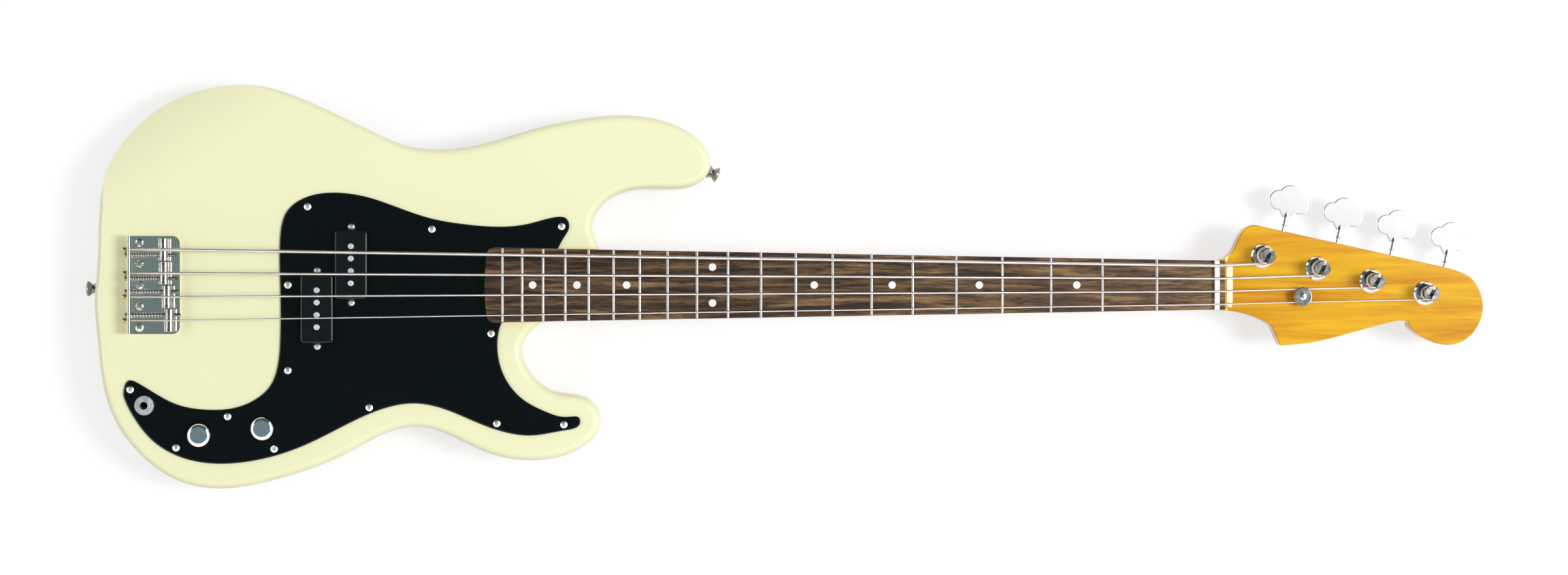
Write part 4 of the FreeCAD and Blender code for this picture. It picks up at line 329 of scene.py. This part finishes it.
def wire(name, path, radius, sides, upright):
    """Round wire: at each path point a circle stands across the path, with one side level.

    side = upright x heading, over = heading x side, point = path + radius (side cos a + over sin a).
    The run along the wire goes into the UV map, in metres, so that windings follow the wire.
    """
    heading = np.gradient(path, axis=0)
    heading /= np.linalg.norm(heading, axis=1)[:, None]
    side = np.cross(np.array(upright, float), heading)
    side /= np.linalg.norm(side, axis=1)[:, None]
    over = np.cross(heading, side)
    angle = np.linspace(0, 2 * np.pi, sides, endpoint=False)[None, :, None]
    grid = path[:, None] + radius * (side[:, None] * np.cos(angle) + over[:, None] * np.sin(angle))
    made = shell(name, grid)
    run = np.concatenate([[0], np.cumsum(np.linalg.norm(np.diff(path, axis=0), axis=1))])
    corner = np.empty(len(made.data.loops), np.int32)
    made.data.loops.foreach_get("vertex_index", corner)
    across = (corner % sides) / sides
    layer = made.data.uv_layers.new(name="run")
    spread = np.stack([run[corner // sides], across], axis=-1)
    layer.data.foreach_set("uv", spread.astype(np.float32).ravel())
    return made


PLATE_REAR = -0.3273
PLATE_WALL = 0.0022
SADDLE_X = (-0.2984, -0.2979, -0.2954, -0.2937)
SADDLE_Y = (0.0288, 0.0096, -0.0096, -0.0288)
SCREW_SHIFT = 0.0043
BARREL_RADIUS = 0.0041
NUT_Y = (0.01605, 0.00535, -0.00535, -0.01605)
FRET_TOP = 0.0574
BOARD_ARCH = 0.240
NUT_ACTION = 0.00055
HALFWAY_ACTION = 0.0021
SADDLE_GROOVE = 0.00045
GROOVE_FIT = 0.00005


def arch_drop(y):
    """How far the fretboard's arch has fallen at a distance y from its middle line."""
    return BOARD_ARCH - math.sqrt(BOARD_ARCH ** 2 - y ** 2)


nut_level = [FRET_TOP + NUT_ACTION - arch_drop(y) for y in NUT_Y]
saddle_level = [
    2 * (FRET_TOP + HALFWAY_ACTION - arch_drop((NUT_Y[i] + SADDLE_Y[i]) / 2)) - nut_level[i]
    for i in range(4)
]
barrel_level = [z + SADDLE_GROOVE - BARREL_RADIUS - GROOVE_FIT for z in saddle_level]
screw_y = [y - SCREW_SHIFT if y > 0 else y + SCREW_SHIFT for y in SADDLE_Y]

SPRING_TURNS = 11
SPRING_STEPS = 28
SPRING_RADIUS = 0.002
SPRING_WIRE = 0.0003
SPRING_ROOM = 0.00045

spring_steel, tree, shader = finish("spring_wire", Metallic=1.0)
tone = shade(tree, cloud(tree, 0.001), (0.3, 0.56, 0.56, 0.55), (0.7, 0.68, 0.68, 0.67))
paint(tree, shader, tone, span(tree, cloud(tree, 0.0006), 0.18, 0.30))
for i, letter in enumerate("eadg"):
    first = PLATE_REAR + PLATE_WALL + SPRING_ROOM
    last = SADDLE_X[i] - BARREL_RADIUS - SPRING_ROOM
    angle = np.linspace(0, 2 * np.pi * SPRING_TURNS, SPRING_TURNS * SPRING_STEPS + 1)
    path = np.stack([
        first + (last - first) * angle / angle[-1],
        screw_y[i] + SPRING_RADIUS * np.cos(angle),
        barrel_level[i] + SPRING_RADIUS * np.sin(angle),
    ], axis=-1)
    spring = wire("spring_" + letter, path, SPRING_WIRE, 10, (1, 0, 0))
    spring.data.materials.append(spring_steel)
    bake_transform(spring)
    if letter == "e":
        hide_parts("intonation_springs")


# Strings: a steel core with nickel wire wound round it. Each runs from a brass ball behind the bridge
# over saddle and nut to its post, takes two turns there and dips into the slot. It is made in two
# lengths that meet on the saddle.
def filled(path, step):
    """The same line with points no more than a step apart."""
    run = np.concatenate([[0], np.cumsum(np.linalg.norm(np.diff(path, axis=0), axis=1))])
    extra = np.arange(0, run[-1], step)
    where = np.unique(np.round(np.concatenate([run, extra]), 9))
    where = where[np.concatenate([[True], np.diff(where) > 1e-6])]
    return np.stack([np.interp(where, run, path[:, k]) for k in range(3)], axis=-1)


POST_SLANT = math.radians(-12.65)
POST_PITCH = 0.04735
FIRST_POST_X = 0.6113
FIRST_POST_Y = 0.0243
POSTS = [
    (
        FIRST_POST_X + POST_PITCH * k * math.cos(POST_SLANT),
        FIRST_POST_Y + POST_PITCH * k * math.sin(POST_SLANT),
    )
    for k in range(4)
]
POST_WAIST = 0.0046
FERRULE_HEIGHT = 0.0052
NUT_FRONT = 0.568
NUT_CREST = 0.570
TREE_FROM_NUT = 0.0755
TREE_RADIUS = 0.0066
TREE_HEIGHT = 0.0066
TREE_FIT = 0.0001
TREE_EDGE = NUT_FRONT + TREE_FROM_NUT - TREE_RADIUS
TREE_LEVEL = HEAD_FACE + TREE_HEIGHT

STRING_RADIUS = (0.001335, 0.00108, 0.000825, 0.00057)
BODY_TOP = 0.0489
HOLE_HEIGHT = 0.0044
BALL_SEAT = PLATE_REAR - 0.00003
BALL_LENGTH = 0.0046
BALL_RADIUS = 0.0022
BALL_END_SHARE = 0.25
HOLE_RUN = 0.0015
HOLE_BEND = 0.006
SADDLE_BEND = BARREL_RADIUS + 0.004
NUT_BEND = 0.008
TREE_BEND = 0.030
WINDING_FIT = 0.00015
WINDING_GAP = 0.00055
WINDING_TURNS = 2.25
SLOT_TURN = math.radians(62)
SLOT_INSET = 0.0024
DIP_PULL = 0.008
STRETCH_AHEAD = 0.080
STRETCH_BEHIND = 0.024
SADDLE_HOLD = 0.006

wound, tree, shader = finish("wound_nickel", Metallic=1.0)
run = put(tree, "UVMap").outputs["UV"]
turns = put(tree, "TexWave", Vector=run, Scale=570.0, Distortion=0.0)
turns.wave_type, turns.bands_direction = "BANDS", "X"
tone = shade(tree, cloud(tree, 0.02), (0.3, 0.70, 0.64, 0.61), (0.7, 0.79, 0.73, 0.70))
paint(tree, shader, tone, span(tree, cloud(tree, 0.008), 0.28, 0.38))
relief(tree, shader, turns.outputs[0], 0.00006)

brass, tree, shader = finish("ball_brass", Metallic=1.0)
tone = shade(tree, cloud(tree, 0.002), (0.3, 0.58, 0.42, 0.17), (0.7, 0.70, 0.53, 0.24))
paint(tree, shader, tone, span(tree, cloud(tree, 0.001), 0.20, 0.34))

for i, letter in enumerate("eadg"):
    radius = STRING_RADIUS[i]
    wall_level = BODY_TOP + HOLE_HEIGHT
    winding = POST_WAIST + WINDING_FIT + radius
    low = HEAD_FACE + FERRULE_HEIGHT + radius
    post = np.array(POSTS[i])
    corners = [
        (BALL_SEAT, SADDLE_Y[i], wall_level),
        (PLATE_REAR + PLATE_WALL + HOLE_RUN, SADDLE_Y[i], wall_level),
        (SADDLE_X[i], SADDLE_Y[i], saddle_level[i] + radius),
        (NUT_CREST, NUT_Y[i], nut_level[i] + radius),
    ]
    bends = [HOLE_BEND, SADDLE_BEND, NUT_BEND]
    if i >= 2:
        share = TREE_FROM_NUT / (post[0] - NUT_FRONT)
        tree_y = NUT_Y[i] + (post[1] - winding - NUT_Y[i]) * share
        corners.append((TREE_EDGE, tree_y, TREE_LEVEL - radius - TREE_FIT))
        bends.append(TREE_BEND)

    # The string meets the post on a tangent, so the heading turns off the line to the post's centre
    # by the angle whose sine is winding / distance.
    away = post - np.array(corners[-1][:2])
    turn = math.atan2(away[1], away[0]) - math.asin(winding / np.hypot(*away))
    flat = np.array([math.cos(turn), math.sin(turn), 0])
    right = np.array([flat[1], -flat[0], 0])
    hub = np.array([*post, low])
    corners.append(tuple(hub + right * winding))
    straight = filled(rounded_run(np.array(corners), bends), 0.02)

    # The coil is hub + winding (right cos a + flat sin a) and climbs one pitch a turn. The dip into
    # the slot is a cubic that leaves along the coil and comes in along the slot.
    angle = np.linspace(0, 2 * np.pi * WINDING_TURNS, 110)[1:, None]
    climb = np.array([0, 0, 1]) * (2 * radius + WINDING_GAP) * angle / (2 * np.pi)
    coil = hub + winding * (right * np.cos(angle) + flat * np.sin(angle)) + climb
    centre = np.array([*post, coil[-1][2]])
    out = (coil[-1] - centre) / np.linalg.norm(coil[-1] - centre)
    side = np.array([-out[1], out[0], 0])
    slot_out = out * math.cos(SLOT_TURN) + side * math.sin(SLOT_TURN)
    inner = centre + slot_out * SLOT_INSET
    t = np.linspace(0, 1, 14)[1:, None]
    dip = (
        (2 * t ** 3 - 3 * t ** 2 + 1) * coil[-1] + (t ** 3 - 2 * t ** 2 + t) * side * DIP_PULL
        + (-2 * t ** 3 + 3 * t ** 2) * inner - (t ** 3 - t ** 2) * slot_out * DIP_PULL
    )

    path = np.concatenate([straight, coil, dip])
    crest = int(np.argmin(np.abs(path[:len(straight), 0] - SADDLE_X[i])))
    string = wire("string_wire_" + letter, path[crest:], radius, 14, (0, 0, 1))
    tail = wire("string_tail_" + letter, path[:crest + 1], radius, 14, (0, 0, 1))
    for length, far, near in (
        (string, STRETCH_AHEAD, SADDLE_HOLD), (tail, -STRETCH_BEHIND, -SADDLE_HOLD),
    ):
        length.data.materials.append(wound)
        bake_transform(length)
    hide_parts("string_" + letter)

    # The ball is a short barrel: its radius swells with a low power of the sine along its length.
    u = np.linspace(0, np.pi, 15)[:, None]
    a = np.linspace(0, 2 * np.pi, 28, endpoint=False)[None, :]
    swell = BALL_RADIUS * (BALL_END_SHARE + (1 - BALL_END_SHARE) * np.sin(u) ** 0.35)
    ball = np.stack([
        BALL_SEAT - BALL_LENGTH * (1 + np.cos(u)) / 2 + 0 * a,
        SADDLE_Y[i] + swell * np.cos(a),
        wall_level + swell * np.sin(a),
    ], axis=-1)
    end = shell("ball_end_" + letter, ball)
    end.data.materials.append(brass)
    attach(end, "instrument")


# Pickups: two moulded black covers over a coil and four magnets each, hung on springy foam by
# screws through their ears. Only the cover and the magnet tops show.
cover_plastic, tree, shader = finish("pickup_black", Specular_IOR_Level=0.45)
tone = shade(tree, cloud(tree, 0.006), (0.3, 0.0020, 0.0034, 0.0036), (0.7, 0.0034, 0.0050, 0.0052))
paint(tree, shader, tone, span(tree, cloud(tree, 0.004), 0.20, 0.23))
dress(cover_plastic, "pickup_cover_bass", "pickup_cover_treble")

magnet, tree, shader = finish("magnet_tops", Metallic=1.0)
tone = shade(tree, cloud(tree, 0.0015), (0.3, 0.80, 0.83, 0.86), (0.7, 0.90, 0.93, 0.96))
paint(tree, shader, tone, span(tree, cloud(tree, 0.0008), 0.42, 0.55))
dress(magnet, "pickup_core_bass", "pickup_core_treble")

foam, tree, shader = finish("grey_foam", Specular_IOR_Level=0.1)
cells = cloud(tree, 0.0008, detail=2.0)
tone = shade(tree, cells, (0.3, 0.04, 0.04, 0.04), (0.7, 0.09, 0.09, 0.09))
paint(tree, shader, tone, span(tree, cells, 0.85, 0.98))
dress(foam, "pickup_foam")


# Pickguard: black sheet plastic cut to an outline, with its rim bevelled all round and held down
# by thirteen small screws. Hand polish leaves hair scratches that only show in the gloss.
guard, tree, shader = finish("black_sheet", Specular_IOR_Level=0.25)
scuffs = cloud(tree, 0.0012, (9, 1, 1), detail=2.0, warp=0.6)
tone = shade(tree, cloud(tree, 0.03), (0.3, 0.0010, 0.0026, 0.0026), (0.7, 0.0018, 0.0036, 0.0036))
paint(tree, shader, tone, span(tree, scuffs, 0.17, 0.21))
relief(tree, shader, scuffs, 0.000002)
dress(guard, "pickguard")


# Controls: stamped steel potentiometers on brass bushings, brass shafts, one dipped capacitor and
# insulated leads, all under the pickguard. The tuners' gears are cut from the same brass.
pot_steel, tree, shader = finish("stamped_steel", Metallic=1.0)
tone = shade(tree, cloud(tree, 0.005), (0.3, 0.46, 0.46, 0.44), (0.7, 0.56, 0.56, 0.54))
paint(tree, shader, tone, span(tree, cloud(tree, 0.002), 0.32, 0.48))
dress(pot_steel, "potentiometers")
dress(brass, "volume_shaft", "tone_shaft")
for letter in "eadg":
    dress(brass, "tuner_gear_" + letter)

dipped, tree, shader = finish("dipped_capacitor", Coat_Weight=0.4, Coat_Roughness=0.15)
tone = shade(tree, cloud(tree, 0.004), (0.3, 0.22, 0.075, 0.02), (0.7, 0.31, 0.11, 0.03))
paint(tree, shader, tone, span(tree, cloud(tree, 0.002), 0.30, 0.42))
dress(dipped, "capacitor")

lead_skin, tree, shader = finish("lead_insulation")
tone = shade(tree, cloud(tree, 0.003), (0.3, 0.010, 0.010, 0.010), (0.7, 0.022, 0.022, 0.022))
paint(tree, shader, tone, span(tree, cloud(tree, 0.001), 0.45, 0.60))
dress(lead_skin, "wires")


# Stage: a pale floor on which the instrument lies in a soft even room. A glowing grey sheet overhead and a
# dark glowing sheet that slopes down behind it, seen only in reflections and casting no shadow, are painted
# reflections that give chrome and black plastic their shades. A soft box up on the headstock's side lights
# it, and a weak strip fills the tail end.
def sheet_of(name, corners):
    """Flat sheet inside a run of corners."""
    mesh = bpy.data.meshes.new(name)
    mesh.from_pydata(corners, [], [range(len(corners))])
    made = bpy.data.objects.new(name, mesh)
    bpy.context.scene.collection.objects.link(made)
    return made


def seen_directly(tree):
    """1 for rays that show a surface itself, straight or in a mirror or glass, 0 for light it sheds."""
    rays = put(tree, "LightPath").outputs
    seen = rays["Is Camera Ray"]
    for kind in ("Is Glossy Ray", "Is Transmission Ray"):
        either = put(tree, "Math", Value=seen)
        either.operation = "MAXIMUM"
        tree.links.new(rays[kind], either.inputs[1])
        seen = either.outputs[0]
    return seen


FLOOR_HALF = 14
FLOOR_LEVEL = -0.0005
floor = sheet_of("floor", [
    (-FLOOR_HALF, -FLOOR_HALF, FLOOR_LEVEL), (FLOOR_HALF, -FLOOR_HALF, FLOOR_LEVEL),
    (FLOOR_HALF, FLOOR_HALF, FLOOR_LEVEL), (-FLOOR_HALF, FLOOR_HALF, FLOOR_LEVEL),
])
floor_paint, tree, shader = finish("floor_paint", Roughness=0.9, Specular_IOR_Level=0.1)
shader.inputs["Base Color"].default_value = (0.40, 0.40, 0.41, 1)
shader.inputs["Emission Color"].default_value = (1, 1, 1, 1)
tree.links.new(span(tree, seen_directly(tree), 0.0, 0.63, 0.0, 1.0), shader.inputs["Emission Strength"])
floor.data.materials.append(floor_paint)

CARD_LEVEL = 3.4
CARD_EDGE = 0.9
CARD_TAIL = -1.9
CARD_HEAD = 1.95
CARD_CUT = 1.12
CLOTH_HALF = 3.0
CLOTH_FOOT = 3.2
card = sheet_of("painted_reflection_card", [
    (CARD_TAIL, -CARD_EDGE, CARD_LEVEL), (CARD_HEAD, -CARD_EDGE, CARD_LEVEL),
    (CARD_HEAD, -0.016, CARD_LEVEL), (CARD_CUT, 0.18, CARD_LEVEL),
    (CARD_CUT, CARD_EDGE, CARD_LEVEL), (CARD_TAIL, CARD_EDGE, CARD_LEVEL),
])
cloth = sheet_of("painted_reflection_cloth", [
    (-CLOTH_HALF, CARD_EDGE, CARD_LEVEL), (CARD_CUT, CARD_EDGE, CARD_LEVEL),
    (CLOTH_HALF, CLOTH_FOOT, 0.0), (-CLOTH_HALF, CLOTH_FOOT, 0.0),
])
# Painted reflections: these sheets glow, and only mirrors see them.
for hung, name, glow in (
    (card, "card_reflection_glow", (0.150, 0.213, 0.245)), (cloth, "cloth_reflection_glow", (0.07, 0.074, 0.074)),
):
    paint, tree, shader = finish(name, Roughness=1.0, Specular_IOR_Level=0.0, Emission_Strength=1.0)
    shader.inputs["Base Color"].default_value = (0, 0, 0, 1)
    shader.inputs["Emission Color"].default_value = (*glow, 1)
    hung.data.materials.append(paint)
    hung.visible_camera = False
    hung.visible_diffuse = False
    hung.visible_shadow = False

room = bpy.data.worlds.new("room")
bpy.context.scene.world = room
room.use_nodes = True
tree = room.node_tree
background = tree.nodes["Background"]
background.inputs["Color"].default_value = (1, 1, 1, 1)
tree.links.new(span(tree, seen_directly(tree), 0.56, 1.0, 0.0, 1.0), background.inputs["Strength"])


def stand(made, place, right, up, back):
    """Puts a lamp or the camera at a place, its own axes along right, up and back."""
    turn = np.stack([right, up, back], axis=-1)
    made.matrix_world = Matrix([(*row, at) for row, at in zip(turn, place)] + [(0, 0, 0, 1)])


def lamp(name, place, aim, width, length, watts):
    """Soft box: a flat rectangular lamp at a place, turned to face the aim."""
    data = bpy.data.lights.new(name, "AREA")
    data.shape = "RECTANGLE"
    data.size, data.size_y, data.energy = width, length, watts
    made = bpy.data.objects.new(name, data)
    bpy.context.scene.collection.objects.link(made)
    back = np.array(place, float) - np.array(aim, float)
    back /= np.linalg.norm(back)
    right = np.cross((0, 1, 0.01), back)
    right /= np.linalg.norm(right)
    stand(made, place, right, np.cross(back, right), back)


lamp("key_box", (2.75, -0.1, 3.3), (0.2, 0, 0), 1.5, 1.25, 104)
lamp("tail_strip", (-2.5, 0.1, 1.9), (-0.2, 0, 0), 0.4, 1.6, 12)


# Camera: straight at the front, a little from the tail end, as the photograph was taken.
CAMERA_TILT = math.radians(4.03)
CAMERA_TARGET = np.array([0.2081, -0.002, 0.0565])
CAMERA_DISTANCE = 2.5
eye = bpy.data.cameras.new("camera")
eye.lens, eye.sensor_width = 69.5, 36.0
eye.clip_start, eye.clip_end = 0.05, 60.0
camera = bpy.data.objects.new("camera", eye)
bpy.context.scene.collection.objects.link(camera)
right = np.array([math.cos(CAMERA_TILT), 0, math.sin(CAMERA_TILT)])
up = np.array([0, 1, 0])
back = np.cross(right, up)
stand(camera, CAMERA_TARGET + CAMERA_DISTANCE * back, right, up, back)
bpy.context.scene.camera = camera
bpy.context.scene.view_settings.view_transform = "Standard"
